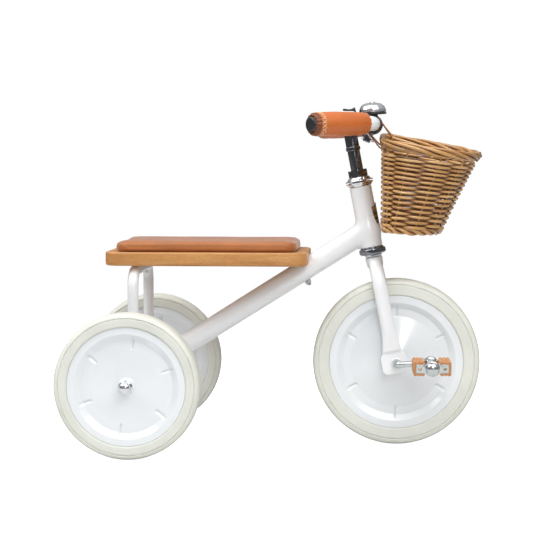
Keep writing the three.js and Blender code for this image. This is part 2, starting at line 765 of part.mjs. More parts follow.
function barPlug(name, side) {
  const plug = turned([
    [0, GRIP_LENGTH - 14], [8.6, GRIP_LENGTH - 14], [8.6, GRIP_LENGTH + GAP],
    [13, GRIP_LENGTH + GAP],
    [13, GRIP_LENGTH + 2.4], [10, GRIP_LENGTH + 3.6], [0, GRIP_LENGTH + 4],
  ], 12);
  return onGrip(mesh(name, plug, BLACK_PLASTIC), side);
}

function bellBase() {
  const band = sideways(ring(BAR_RADIUS + GAP, 15.4, -6, 6, 20));
  const neck = box(-9, 9, -6, 6, 13.5, 17.5);
  const seat = rod(24.4, 16.6, 19.6, 20);
  const post = rod(3, 19, 33.4, 10);
  const pin = rod(1.8, LEVER_PIVOT.z - 0.6, 17, 8).translate(LEVER_PIVOT.x, 0, 0);
  const inBar = sideways(rod(BAR_RADIUS + GAP, -20, 20, 20));
  return mesh("bell_base", cut(join(band, neck, seat, post, pin), inBar), BLACK_PLASTIC);
}

function bellDome() {
  const dome = turned([
    [0, 33.8], [10, 33.2], [18, 29.6], [21.6, 20], [23.2, 20], [23, 24],
    [21, 30], [15, 34.8], [3.6, 36.6], [3.4, 38.4], [0, 39.2],
  ], 18);
  return mesh("bell_dome", dome, CHROME);
}

function bellLever() {
  const { x, z } = LEVER_PIVOT;
  const eye = cut(
    join(rod(4.2, z, z + 3.4, 12), box(-8, -2, -3, 3, z, z + 3.4)),
    rod(2.2, z - 1, z + 5, 12),
  ).translate(x, 0, 0);
  const outline = new THREE.Shape([
    new THREE.Vector2(-27, z),
    new THREE.Vector2(-27, z + 8),
    new THREE.Vector2(-28.4, z + 17.4),
    new THREE.Vector2(-31, z + 17.6),
    new THREE.Vector2(-37, z + 14.6),
    new THREE.Vector2(-50, z + 15),
    new THREE.Vector2(-52, z + 13),
    new THREE.Vector2(-50, z + 11),
    new THREE.Vector2(-37, z + 10.6),
    new THREE.Vector2(-31.4, z + 8),
    new THREE.Vector2(-30, z),
  ]);
  const arm = upright(outline, 9, 2);
  return mesh("bell_lever", join(eye, arm), BLACK_PLASTIC);
}

function handlebarGroup() {
  const group = new THREE.Group();
  group.position.set(BAR_CENTRE.reach, 0, BAR_CENTRE.height);
  group.rotation.y = HEAD_ANGLE - BAR_PITCH;
  group.add(handlebar());
  for (const [word, side] of Object.entries(SIDES)) {
    group.add(grip("grip_" + word, side));
    group.add(barPlug("bar_plug_" + word, side));
  }
  const bell = new THREE.Group();
  bell.position.y = BELL_OFFSET;
  bell.add(bellBase(), bellDome(), bellLever());
  group.add(bell);
  return group;
}

// ---- basket ----------------------------------------------------------------------------------

// A flat back with rounded corners and a round front, in the XY plane; inset shrinks it.
function basketOutline({ depth, width, corner }, inset) {
  const half = width / 2 - inset;
  const radius = corner - inset;
  const straight = depth - width / 2;
  const shape = new THREE.Shape();
  shape.moveTo(inset, half - radius);
  shape.lineTo(inset, -half + radius);
  shape.absarc(inset + radius, -half + radius, radius, Math.PI, 1.5 * Math.PI, false);
  shape.lineTo(straight, -half);
  shape.absarc(straight, 0, half, -Math.PI / 2, Math.PI / 2, false);
  shape.lineTo(inset + radius, half);
  shape.absarc(inset + radius, half - radius, radius, Math.PI / 2, Math.PI, false);
  return shape;
}

// A slab of height 1 whose lower outline is the basket's floor and whose upper one is its rim.
function basketLoft(inset, low, high) {
  const loft = extruded(basketOutline(BASKET.top, inset), 1, 4);
  const floor = extruded(basketOutline(BASKET.bottom, inset), 1, 4);
  const place = loft.attributes.position;
  const narrow = floor.attributes.position;
  const rise = BASKET.rimHeight - BASKET.bottomHeight;
  for (let i = 0; i < place.count; i++) {
    const share = place.getZ(i) > 0.5 ? high : low;
    const x = THREE.MathUtils.lerp(narrow.getX(i), place.getX(i), share);
    const y = THREE.MathUtils.lerp(narrow.getY(i), place.getY(i), share);
    const slope = THREE.MathUtils.lerp(
      Math.tan(BASKET.bottomSlope),
      Math.tan(BASKET.rimSlope),
      share,
    );
    place.setXYZ(i, x, y, share * rise - slope * x + Math.tan(BASKET.roll) * y);
  }
  return loft;
}

function basket() {
  const rise = BASKET.rimHeight - BASKET.bottomHeight;
  const rimLow = 1 - 8 / rise;
  const rimHigh = 1 + 9 / rise;
  const shell = join(basketLoft(0, 0, 1), basketLoft(-4, rimLow, rimHigh));
  const inside = basketLoft(BASKET.wall, BASKET.wall / rise, rimHigh + 0.1);
  const slots = [-1, 1].map((side) => {
    const y = side * STRAP_OFFSET;
    const half = STRAP_WIDTH / 2 + 1;
    const drop = y * Math.tan(BASKET.roll);
    return box(-10, BASKET.wall + 12, y - half, y + half, rise - 17.5 + drop, rise - 8 + drop);
  });
  const made = mesh("basket", cut(shell, inside, ...slots), WILLOW);
  made.position.set(BASKET.backX, 0, BASKET.bottomHeight);
  return made;
}

// The outline of a belt round two circles in the XZ plane.
function beltOutline(a, b, radiusA, radiusB, Kind) {
  const along = Math.atan2(b.z - a.z, b.x - a.x);
  const distance = Math.hypot(b.x - a.x, b.z - a.z);
  const splay = Math.acos((radiusA - radiusB) / distance);
  const belt = new Kind();
  belt.absarc(a.x, a.z, radiusA, along + splay, along - splay + 2 * Math.PI, false);
  belt.absarc(b.x, b.z, radiusB, along - splay, along + splay, false);
  return belt;
}

// A strap looped over the bar and under the basket's rim.
function basketStrap(word, side) {
  const bar = { x: 0, z: 0 };
  const drop = side * STRAP_OFFSET * Math.tan(BASKET.roll);
  const rim = {
    x: BASKET.backX + 4 - barPlace.x,
    z: BASKET.rimHeight + 1 + drop - barPlace.z,
  };
  const [onBar, onRim] = [BAR_RADIUS + 0.6, 13.2];
  const outline = beltOutline(
    bar,
    rim,
    onBar + STRAP_THICKNESS,
    onRim + STRAP_THICKNESS,
    THREE.Shape,
  );
  outline.holes.push(beltOutline(bar, rim, onBar, onRim, THREE.Path));
  const strap = mesh("basket_strap_" + word, upright(outline, STRAP_WIDTH, 6), TAN_LEATHER);
  const group = new THREE.Group();
  group.position.set(barPlace.x, side * STRAP_OFFSET, barPlace.z);
  group.add(strap, strapBuckle("strap_buckle_" + word, rim, onBar, onRim));
  return group;
}

// A frame buckle round the strap's lower run.
function strapBuckle(name, rim, onBar, onRim) {
  const [wide, tall, bar] = [STRAP_WIDTH + 7, 7, 2.4];
  const frame = new THREE.Shape(rectangle(wide, tall + 2 * bar));
  frame.holes.push(new THREE.Path(rectangle(STRAP_WIDTH + 1.4, STRAP_THICKNESS + 1.4)));
  const along = Math.atan2(rim.z, rim.x);
  const distance = Math.hypot(rim.x, rim.z);
  const splay = Math.acos((onBar - onRim) / distance);
  const away = along - splay;
  const middle = (onBar + onRim + STRAP_THICKNESS) / 2;
  const buckle = extruded(frame, 5)
    .translate(0, 0, -2.5)
    .rotateZ(Math.PI / 2)
    .rotateY(-away);
  const made = mesh(name, buckle, BRASS);
  made.position.set(
    rim.x / 2 + Math.cos(away) * middle,
    0,
    rim.z / 2 + Math.sin(away) * middle,
  );
  return made;
}

function rectangle(width, height) {
  return [
    new THREE.Vector2(-width / 2, -height / 2),
    new THREE.Vector2(width / 2, -height / 2),
    new THREE.Vector2(width / 2, height / 2),
    new THREE.Vector2(-width / 2, height / 2),
  ];
}

// ---- assembly --------------------------------------------------------------------------------

// The steering frame: its origin is level with the front axle, +Z runs up the steering axis.
function steeringFrame() {
  const group = new THREE.Group();
  group.position.set(
    -RAKE * Math.cos(HEAD_ANGLE),
    0,
    FRONT_WHEEL_RADIUS - RAKE * Math.sin(HEAD_ANGLE),
  );
  group.rotation.y = -HEAD_ANGLE;
  return group;
}

const steering = steeringFrame();
steering.updateMatrixWorld();
const barPlace = vec(BAR_CENTRE.reach, 0, BAR_CENTRE.height).applyMatrix4(steering.matrixWorld);

const tricycle = new THREE.Group();

steering.add(headTube(), ...headsetCups(), ...bearings(), headBadge());
steering.add(fork(), ...headsetMovingParts(), stem(), clampBolt(), expanderBolt());
for (const [word, side] of Object.entries(SIDES)) {
  steering.add(forkBush("fork_bush_" + word, side));
}
steering.add(handlebarGroup());
tricycle.add(steering);

const rear = new THREE.Group();
rear.position.set(-WHEELBASE, 0, REAR_WHEEL_RADIUS);
rear.add(axleTube(), rearAxle());
const alongTube = new THREE.Group();
alongTube.rotation.y = Math.PI / 2 - MAIN_TUBE_ANGLE;
alongTube.add(mainTube(), frontSeatBolt());
rear.add(alongTube);
tricycle.add(rear, seatHoop(), seatPlank(), seatPad());

tricycle.add(frontWheel(), basket());
for (const [word, side] of Object.entries(SIDES)) {
  rear.add(capNut("cap_nut_" + word, side));
  tricycle.add(rearWheel(word, side));
  tricycle.add(rearSeatBolt("seat_bolt_" + word, side));
  tricycle.add(basketStrap(word, side));
}

export default tricycle;
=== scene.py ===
"""A children's tricycle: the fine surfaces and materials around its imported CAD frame.

Sizes are millimetres unless a name says otherwise, and MM turns them into Blender's metres.
+X is forward, +Y is the rider's left, +Z is up, and the origin is on the ground below the front axle.
"""

import json
import math
import random

import bmesh
import bpy
import numpy as np
from mathutils import Matrix, Vector


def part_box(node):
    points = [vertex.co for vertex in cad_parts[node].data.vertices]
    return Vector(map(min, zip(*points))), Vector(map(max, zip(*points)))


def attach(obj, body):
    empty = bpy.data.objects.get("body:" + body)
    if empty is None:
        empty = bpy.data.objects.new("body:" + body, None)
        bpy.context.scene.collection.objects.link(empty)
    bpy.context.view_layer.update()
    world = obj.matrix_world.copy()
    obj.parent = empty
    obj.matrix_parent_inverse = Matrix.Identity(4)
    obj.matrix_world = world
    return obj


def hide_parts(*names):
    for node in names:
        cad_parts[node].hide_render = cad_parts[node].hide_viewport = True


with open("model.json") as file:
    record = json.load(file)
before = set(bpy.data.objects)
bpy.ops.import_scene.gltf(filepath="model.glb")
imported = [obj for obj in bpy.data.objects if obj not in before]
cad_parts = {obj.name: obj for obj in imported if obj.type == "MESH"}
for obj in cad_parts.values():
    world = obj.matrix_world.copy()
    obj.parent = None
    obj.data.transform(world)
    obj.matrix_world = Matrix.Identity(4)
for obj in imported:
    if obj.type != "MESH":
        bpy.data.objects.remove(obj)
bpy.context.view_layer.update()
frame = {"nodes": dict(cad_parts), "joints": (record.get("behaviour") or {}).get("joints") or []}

MM = 0.001
SIDES = {"right": -1, "left": 1}
UP = Vector((0, 0, 1))

# ---- places, from the frame -------------------------------------------------------------------
joints = {joint["name"]: joint for joint in frame["joints"]}


def joint_place(name):
    """Where a joint is, in millimetres."""
    return Vector(joints[name]["pos_m"]) / MM


def node_box(name):
    """Lowest and highest corner of a CAD node, in millimetres."""
    low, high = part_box(name)
    return low / MM, high / MM


STEER_AXIS = Vector(joints["steering_turn"]["axis"])
LEAN = math.atan2(-STEER_AXIS.x, STEER_AXIS.z)
STEERING = Matrix.Translation(joint_place("steering_turn")) @ Matrix.Rotation(-LEAN, 4, "Y")
FRONT_HUB = joint_place("front_wheel_spin")
REAR_HUB = joint_place("rear_wheel_right_spin") * Vector((1, 0, 1))
PLANK_LOW, PLANK_HIGH = node_box("seat_plank")
PAD_LOW, PAD_HIGH = node_box("seat_pad")

# ---- driving dimensions, as in the CAD --------------------------------------------------------
HEAD_TUBE = {"radius": 19.5, "bottom": 210.5, "top": 321.5}  # heights along the steering axis
CUP_RADIUS = 23.8
LOCKNUT_TOP = 351
STEERER_RADIUS = 12.7
MAIN_TUBE = {"radius": 19, "angle": math.radians(32.4), "length": 486}
AXLE_TUBE = {"radius": 14, "half": 156}
AXLE_HALF = 205
HOOP = {"radius": 9.5, "half": 92, "x": -463.5, "bend": 28}
SEAT_BOLT_ALONG_TUBE = 343.8
SEAT_BOLT_SPREAD = 58
CROWN = HEAD_TUBE["bottom"] - 18
LEG = {"radius": 12.2, "offset": 33.6, "x": 1.5}
ROD_RADIUS = 5.5
CRANK = {"length": 59.3, "arm": 53.5, "rise": math.radians(4)}
PEDAL = {"inner": 62, "outer": 105}
BAR = {"radius": 12.7, "reach": 42.7, "height": 425, "straight": 100, "bend": 38}
BAR_SWEEP = math.radians(51)
BAR_PITCH = math.radians(1.7)
GRIP_LENGTH = 113.5
BELL_OFFSET = -75
CLAMP_LEAN = math.radians(33)
BASKET = {
    "back": -27, "rim": 547, "floor": 391,
    "rim_slope": math.tan(math.radians(9.4)),
    "floor_slope": math.tan(math.radians(5.5)),
    "roll": math.tan(math.radians(3.5)),
    "top": {"depth": 172, "width": 226, "corner": 26},
    "bottom": {"depth": 104, "width": 164, "corner": 16},
}
STRAP = {"offset": 50, "width": 16, "thickness": 2.6}

BAR_PLACE = (
    STEERING
    @ Matrix.Translation((BAR["reach"], 0, BAR["height"]))
    @ Matrix.Rotation(LEAN - BAR_PITCH, 4, "Y")
)
BELL_PLACE = BAR_PLACE @ Matrix.Translation((0, BELL_OFFSET, 0))
CRANK_PLACE = Matrix.Translation(FRONT_HUB) @ Matrix.Rotation(-CRANK["rise"], 4, "Y")
# the way the right pedal's spindle points, in the cranks' own frame
SPINDLE = Vector((math.tan(math.radians(2.7)), -1, -math.tan(math.radians(4.6)))).normalized()


def sideways(side):
    """Turns what is made about +Z so that it lies along +Y (side 1) or -Y (side -1)."""
    return Matrix.Rotation(-side * math.pi / 2, 4, "X")


# ---- building meshes --------------------------------------------------------------------------

def lerp(a, b, share):
    return a + (b - a) * share


def smooth(share):
    share = min(1.0, max(0.0, share))
    return share * share * (3 - 2 * share)


def circle(count, radius=1.0, start=0.0):
    angles = [start + 2 * math.pi * k / count for k in range(count)]
    return [(radius * math.cos(a), radius * math.sin(a)) for a in angles]


def loft(rings, caps=True, closed=False):
    """Points and faces of a skin through rings of as many points each."""
    size = len(rings[0])
    points = [p for ring in rings for p in ring]
    faces = []
    count = len(rings)
    for i in range(count if closed else count - 1):
        a, b = i * size, (i + 1) % count * size
        for k in range(size):
            n = (k + 1) % size
            faces.append((a + k, a + n, b + n, b + k))
    if caps and not closed:
        faces.append(tuple(reversed(range(size))))
        faces.append(tuple(range((count - 1) * size, count * size)))
    return points, faces


def revolve(profile, segments=96, shape=None):
    """A profile of (radius, height) turned about +Z; shape(radius, height, angle) may bend it.
    A profile that starts on the axis is closed there, and any other closes on itself."""
    bored = profile[0][0] > 0
    rings = []
    for radius, height in profile if bored else profile[1:-1]:
        ring = []
        for k in range(segments):
            angle = 2 * math.pi * k / segments
            r, h = shape(radius, height, angle) if shape else (radius, height)
            ring.append(Vector((r * math.cos(angle), r * math.sin(angle), h)))
        rings.append(ring)
    points, faces = loft(rings, caps=False, closed=bored)
    if not bored:
        last = len(points) - segments
        for height, first, turn in ((profile[0][1], 0, -1), (profile[-1][1], last, 1)):
            points.append(Vector((0, 0, height)))
            pole = len(points) - 1
            for k in range(segments):
                pair = (first + k, first + (k + 1) % segments)[::turn]
                faces.append((*pair, pole))
    return points, faces


def eased(corners, closed=False, steps=5):
    """Corner points (x, y) or (x, y, radius), with an arc in place of each corner with a radius."""
    made = []
    for i, corner in enumerate(corners):
        x, y, radius = (*corner, 0)[:3]
        if radius == 0 or (not closed and i in (0, len(corners) - 1)):
            made.append((x, y))
            continue
        here = Vector((x, y))
        before = Vector(corners[i - 1][:2]) - here
        after = Vector(corners[(i + 1) % len(corners)][:2]) - here
        turn = math.pi - before.angle(after)
        room = 0.49 * min(before.length, after.length)
        setback = min(radius * math.tan(turn / 2), room)
        arc = setback / math.tan(turn / 2)
        middle = (before.normalized() + after.normalized()).normalized()
        centre = here + middle * (arc / math.cos(turn / 2))
        first = here + before.normalized() * setback - centre
        last = here + after.normalized() * setback - centre
        start = math.atan2(first.y, first.x)
        sweep = (math.atan2(last.y, last.x) - start + math.pi) % (2 * math.pi) - math.pi
        for k in range(steps + 1):
            angle = start + sweep * k / steps
            made.append((centre.x + arc * math.cos(angle), centre.y + arc * math.sin(angle)))
    return made


def rounded_path(corners, radius, step=3.0):
    """Points along straight runs between corner points, each inner corner an arc."""
    path = [corners[0]]
    for before, here, after in zip(corners, corners[1:], corners[2:]):
        back, on = (before - here).normalized(), (after - here).normalized()
        turn = math.pi - back.angle(on)
        setback = radius * math.tan(turn / 2)
        start = here + back * setback
        centre = here + (back + on).normalized() * (radius / math.cos(turn / 2))
        spoke = start - centre
        ahead = -back
        count = max(4, round(radius * turn / step))
        for k in range(count + 1):
            angle = turn * k / count
            path.append(centre + spoke * math.cos(angle) + ahead * radius * math.sin(angle))
    path.append(corners[-1])
    return path


def rod(path, radius, sides=12, up=None, closed=False):
    """A round bar along a path. radius is a number, or one number for each point."""
    count = len(path)
    radii = radius if hasattr(radius, "__len__") else [radius] * count
    across = up
    rings = []
    for i, here in enumerate(path):
        ahead = path[(i + 1) % count] if closed or i < count - 1 else here
        behind = path[i - 1] if closed or i > 0 else here
        tangent = (ahead - behind).normalized()
        if up is not None:
            across = up
        elif across is None:
            across = tangent.orthogonal()
        across = (across - tangent * across.dot(tangent)).normalized()
        side = tangent.cross(across)
        rings.append([here + across * (x * radii[i]) + side * (y * radii[i]) for x, y in circle(sides)])
    return loft(rings, closed=closed)


def slab(outline, low, high, ease=0.0, steps=3):
    """A plate with its two faces' edges eased. outline(inset) gives its (x, y) points."""
    rings = []
    for level, sign in ((low, 1), (high, -1)):
        edge = []
        for k in range(steps + 1):
            angle = math.pi / 2 * k / steps
            height = level + sign * ease * (1 - math.cos(angle))
            edge.append([Vector((x, y, height)) for x, y in outline(ease * (1 - math.sin(angle)))])
        rings += edge if sign > 0 else edge[::-1]
    return loft(rings)


def rectangle(x0, x1, y0, y1, corner, steps=6):
    """An outline for slab: a rectangle with round corners."""
    def outline(inset):
        a, b, c, d = x0 + inset, x1 - inset, y0 + inset, y1 - inset
        r = max(corner - inset, 0.05)
        return eased([(a, c, r), (b, c, r), (b, d, r), (a, d, r)], closed=True, steps=steps)
    return outline


class Part:
    """Closed shapes, in millimetres, gathered into one piece."""

    def __init__(self):
        self.points = []
        self.faces = []
        self.values = {}

    def add(self, shape, place=None, **values):
        points, faces = shape
        base = len(self.points)
        self.points += [place @ p for p in points] if place is not None else list(points)
        self.faces += [tuple(base + i for i in face) for face in faces]
        for key, value in values.items():
            row = value if hasattr(value, "__len__") else [value] * len(points)
            self.values.setdefault(key, {}).update(zip(range(base, base + len(points)), row))
        return self

    def mesh(self, name):
        mesh = bpy.data.meshes.new(name)
        mesh.from_pydata([tuple(c * MM for c in p) for p in self.points], [], self.faces)
        for key, row in self.values.items():
            kind = "FLOAT_VECTOR" if hasattr(next(iter(row.values())), "__len__") else "FLOAT"
            layer = mesh.attributes.new(key, kind, "POINT")
            if kind == "FLOAT":
                layer.data.foreach_set("value", [row.get(i, 0.0) for i in range(len(self.points))])
            else:
                flat = [c for i in range(len(self.points)) for c in row.get(i, (0.0, 0.0, 0.0))]
                layer.data.foreach_set("vector", flat)
        work = bmesh.new()
        work.from_mesh(mesh)
        bmesh.ops.recalc_face_normals(work, faces=work.faces)
        work.to_mesh(mesh)
        work.free()
        return mesh

    def piece(self, name, material, body, slot, replaces=(), sharp=40):
        """The gathered shapes as an object that rides on a body."""
        mesh = self.mesh(name)
        mesh.shade_smooth()
        mesh.set_sharp_from_angle(angle=math.radians(sharp))
        made = bpy.data.objects.new(name, mesh)
        bpy.context.scene.collection.objects.link(made)
        return dress(made, material, body, replaces)


def dress(piece, material, body, replaces=()):
    """Gives a piece its material and body, and hides the CAD nodes it stands for."""
    piece.data.materials.clear()
    piece.data.materials.append(material)
    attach(piece, body)
    if replaces:
        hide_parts(*replaces)
    return piece


def finish_node(name, material):
    """Gives a CAD node that stays in view its material."""
    node = frame["nodes"][name]
    node.data.materials.clear()
    node.data.materials.append(material)


def applied(piece):
    """Replaces a piece's mesh by its mesh with every modifier applied."""
    evaluated = piece.evaluated_get(bpy.context.evaluated_depsgraph_get())
    mesh = bpy.data.meshes.new_from_object(evaluated)
    piece.modifiers.clear()
    piece.data = mesh
    return piece


# ---- smooth welded shapes: the surface where a field of distances is zero -----------------------

def to_segment(points, a, b):
    a, b = np.array(a, float), np.array(b, float)
    along = b - a
    share = np.clip((points - a) @ along / (along @ along), 0, 1)
    return np.linalg.norm(points - a - share[:, None] * along, axis=1)


def to_path(points, path):
    return np.min([to_segment(points, a, b) for a, b in zip(path, path[1:])], axis=0)


def fuse(a, b, blend):
    """The union of two fields, with a fillet."""
    near = np.maximum(blend - np.abs(a - b), 0) / blend
    return np.minimum(a, b) - near * near * blend / 4


def onto(points, field):
    """Moves points along the field's slope to where it is zero."""
    reach = 0.05
    for _ in range(3):
        value = field(points)
        slope = np.stack([
            (field(points + reach * axis) - field(points - reach * axis)) / (2 * reach)
            for axis in np.eye(3)
        ], axis=1)
        size = np.maximum((slope * slope).sum(1), 0.2)
        step = -(value / size)[:, None] * slope
        points = points + np.clip(step, -2, 2)
    return points


def skin(seeds, field, voxel, rounds=6):
    """The zero surface of a field as points and faces. seeds are shapes that roughly fill it."""
    rough_part = Part()
    for seed in seeds:
        rough_part.add(seed)
    rough = bpy.data.objects.new("rough", rough_part.mesh("rough"))
    bpy.context.scene.collection.objects.link(rough)
    remesh = rough.modifiers.new("remesh", "REMESH")
    remesh.mode = "VOXEL"
    remesh.voxel_size = voxel * MM
    bpy.context.view_layer.update()
    mesh = applied(rough).data
    points = np.zeros(len(mesh.vertices) * 3)
    mesh.vertices.foreach_get("co", points)
    points = points.reshape(-1, 3) / MM
    ends = np.array([edge.vertices[:] for edge in mesh.edges])
    faces = [tuple(face.vertices) for face in mesh.polygons]
    bpy.data.objects.remove(rough)
    degree = np.bincount(ends.ravel(), minlength=len(points))[:, None]
    for _ in range(rounds):
        for _ in range(2):
            total = np.zeros_like(points)
            np.add.at(total, ends[:, 0], points[ends[:, 1]])
            np.add.at(total, ends[:, 1], points[ends[:, 0]])
            points = 0.4 * points + 0.6 * total / degree
        points = onto(points, field)
    return [Vector(p) for p in points], faces


# ---- materials --------------------------------------------------------------------------------

class Shader:
    """A Principled material, with short calls to add and join its nodes."""

    def __init__(self, name, color, roughness, metallic=0.0, **sockets):
        self.material = bpy.data.materials.new(name)
        self.material.use_nodes = True
        self.tree = self.material.node_tree
        self.surface = self.tree.nodes["Principled BSDF"]
        self.set(Base_Color=(*color, 1), Roughness=roughness, Metallic=metallic, **sockets)
        self.coordinates = self.tree.nodes.new("ShaderNodeTexCoord")
        self.bumps = None

    def set(self, **sockets):
        for name, value in sockets.items():
            self.surface.inputs[name.replace("_", " ")].default_value = value

    def node(self, kind, inputs=None, **settings):
        made = self.tree.nodes.new("ShaderNode" + kind)
        for key, value in settings.items():
            setattr(made, key, value)
        for key, value in (inputs or {}).items():
            if isinstance(value, bpy.types.NodeSocket):
                self.tree.links.new(value, made.inputs[key])
            else:
                made.inputs[key].default_value = value
        return made

    def place(self, scale=(1, 1, 1), rotation=(0, 0, 0), attribute=None):
        """Coordinates fixed to the piece, in metres, or to a vector attribute of its mesh."""
        if attribute:
            source = self.node("Attribute", attribute_name=attribute).outputs["Vector"]
        else:
            source = self.coordinates.outputs["Object"]
        return self.node("Mapping", {"Vector": source, "Scale": scale, "Rotation": rotation}).outputs[0]

    def noise(self, vector, scale, detail=3.0, roughness=0.5, distortion=0.0):
        inputs = {"Vector": vector, "Scale": scale, "Detail": detail, "Roughness": roughness,
                  "Distortion": distortion}
        return self.node("TexNoise", inputs).outputs[0]

    def cells(self, vector, scale, feature="F1", randomness=1.0):
        inputs = {"Vector": vector, "Scale": scale, "Randomness": randomness}
        return self.node("TexVoronoi", inputs, feature=feature).outputs["Distance"]

    def ramp(self, value, *stops):
        """value through stops of (position, color or number)."""
        made = self.node("ValToRGB", {"Fac": value})
        elements = made.color_ramp.elements
        while len(elements) < len(stops):
            elements.new(0.5)
        for element, (position, color) in zip(elements, stops):
            element.position = position
            rgb = color if hasattr(color, "__len__") else (color,) * 3
            element.color = (*rgb, 1)
        return made.outputs["Color"]

    def attribute(self, name):
        return self.node("Attribute", attribute_name=name).outputs["Fac"]

    def mix(self, share, a, b, mode="MIX"):
        made = self.tree.nodes.new("ShaderNodeMix")
        made.data_type = "RGBA"
        made.blend_type = mode
        for index, value in ((0, share), (6, a), (7, b)):
            if isinstance(value, bpy.types.NodeSocket):
                self.tree.links.new(value, made.inputs[index])
            elif hasattr(value, "__len__"):
                made.inputs[index].default_value = (*value, 1)
            else:
                made.inputs[index].default_value = value
        return made.outputs[2]

    def math(self, operation, a, b=0.0, c=0.0):
        made = self.node("Math", operation=operation)
        for index, value in enumerate((a, b, c)):
            if isinstance(value, bpy.types.NodeSocket):
                self.tree.links.new(value, made.inputs[index])
            else:
                made.inputs[index].default_value = value
        return made.outputs[0]

    def color(self, socket):
        self.tree.links.new(socket, self.surface.inputs["Base Color"])
        return self

    def roughness(self, value, low, high):
        spread = self.node("MapRange", {"Value": value, "To Min": low, "To Max": high})
        self.tree.links.new(spread.outputs[0], self.surface.inputs["Roughness"])
        return self

    def bump(self, height, depth, strength=1.0):
        """Relief of a depth in millimetres, on top of what is there already."""
        inputs = {"Height": height, "Distance": depth * MM, "Strength": strength}
        if self.bumps is not None:
            inputs["Normal"] = self.bumps
        self.bumps = self.node("Bump", inputs).outputs[0]
        self.tree.links.new(self.bumps, self.surface.inputs["Normal"])
        return self


def paint(name, color):
    """Powder coat under a gloss: a faint orange peel and a little cloudiness."""
    made = Shader(name, color, 0.24, Coat_Weight=0.5, Coat_Roughness=0.08, Specular_IOR_Level=0.5)
    peel = made.noise(made.place(), 420, 2)
    cloud = made.noise(made.place(), 14, 3)
    shade = made.ramp(cloud, (0.3, tuple(c * 0.985 for c in color)), (0.7, color))
    made.color(shade).roughness(cloud, 0.2, 0.3).bump(peel, 0.02, 0.35)
    return made.material


def plastic_white():
    """Moulded white plastic: cool, glossy, with slight flow marks."""
    color = (0.80, 0.825, 0.84)
    made = Shader("white_plastic", color, 0.2, Coat_Weight=0.6, Coat_Roughness=0.05)
    flow = made.noise(made.place((1, 0.3, 1)), 16, 4, 0.6, 0.6)
    fine = made.noise(made.place(), 260, 2)
    shade = made.ramp(flow, (0.3, (0.775, 0.805, 0.822)), (0.7, color))
    made.color(shade).roughness(flow, 0.12, 0.22).bump(flow, 0.2, 0.1).bump(fine, 0.01, 0.15)
    return made.material


def rubber_cream():
    """Ivory tyre rubber: satin, faintly mottled, a little dull on the tread."""
    made = Shader("cream_rubber", (0.72, 0.71, 0.60), 0.5, Specular_IOR_Level=0.4)
    blotch = made.noise(made.place(), 22, 4, 0.6)
    grain = made.noise(made.place(), 900, 2)
    base = made.ramp(blotch, (0.3, (0.68, 0.69, 0.625)), (0.7, (0.74, 0.75, 0.685)))
    worn = made.mix(made.attribute("tread"), base, (0.63, 0.63, 0.56))
    made.color(worn).roughness(blotch, 0.42, 0.58).bump(grain, 0.03, 0.4)
    return made.material


def metal(name, color, low, high, scratches=0.15):
    """Plated steel: streaky polish, faint scratches and clouds."""
    made = Shader(name, color, low, 1.0)
    cloud = made.noise(made.place(), 60, 3)
    streak = made.noise(made.place((0.15, 1, 1)), 700, 2)
    shade = made.ramp(cloud, (0.3, tuple(c * 0.9 for c in color)), (0.7, color))
    made.color(shade).roughness(cloud, low, high).bump(streak, 0.01, scratches)
    return made.material


def wood_beech():
    """Steamed beech, oiled: honey brown along X, short dark flecks, broad growth rings."""
    made = Shader("beech", (0.55, 0.27, 0.09), 0.4, Coat_Weight=0.15, Coat_Roughness=0.25)
    tilt = (0, math.radians(6), 0)
    rings = made.noise(made.place((5, 26, 42), tilt), 1, 5, 0.55, 0.8)
    fibre = made.noise(made.place((55, 900, 900), tilt), 1, 3, 0.6)
    fleck = made.noise(made.place((150, 520, 760), (0, math.radians(14), 0)), 1, 2, 0.5, 0.3)
    base = made.ramp(rings, (0.28, (0.43, 0.18, 0.048)), (0.5, (0.58, 0.275, 0.085)),
                     (0.72, (0.69, 0.375, 0.135)))
    streaked = made.mix(0.35, base, made.ramp(fibre, (0.3, 0.45), (0.65, 1.0)), "MULTIPLY")
    flecks = made.ramp(fleck, (0.56, 0.0), (0.64, 1.0))
    dark = made.mix(made.math("MULTIPLY", flecks, 0.55), streaked, (0.33, 0.145, 0.045))
    made.color(dark).roughness(fibre, 0.34, 0.5).bump(fibre, 0.05, 0.3).bump(flecks, 0.04, 0.3)
    return made.material


def leather(name, deep, light, grain_scale, sheen=0.25, gloss=(0.3, 0.55)):
    """Tanned leather: pebbled grain of cells, pores and broad tone; "burnish" darkens edges."""
    made = Shader(name, light, gloss[1], Sheen_Weight=sheen, Sheen_Roughness=0.4)
    tone = made.noise(made.place(), 18, 4, 0.55)
    warp = made.noise(made.place(), grain_scale * 0.5, 2)
    cell = made.cells(made.place(), grain_scale)
    crease = made.cells(made.place(), grain_scale * 0.45, "DISTANCE_TO_EDGE")
    base = made.ramp(tone, (0.3, deep), (0.7, light))
    pored = made.mix(0.16, base, made.ramp(cell, (0.0, 1.0), (0.8, 0.55)), "MULTIPLY")
    burnt = made.mix(made.attribute("burnish"), pored, tuple(c * 0.2 for c in deep))
    made.color(burnt).roughness(made.math("ADD", made.math("MULTIPLY", tone, 0.6), warp), *gloss)
    made.bump(made.ramp(cell, (0.0, 0.0), (0.7, 1.0)), -0.12, 0.35)
    made.bump(made.ramp(crease, (0.0, 0.0), (0.12, 1.0)), 0.1, 0.3)
    return made.material


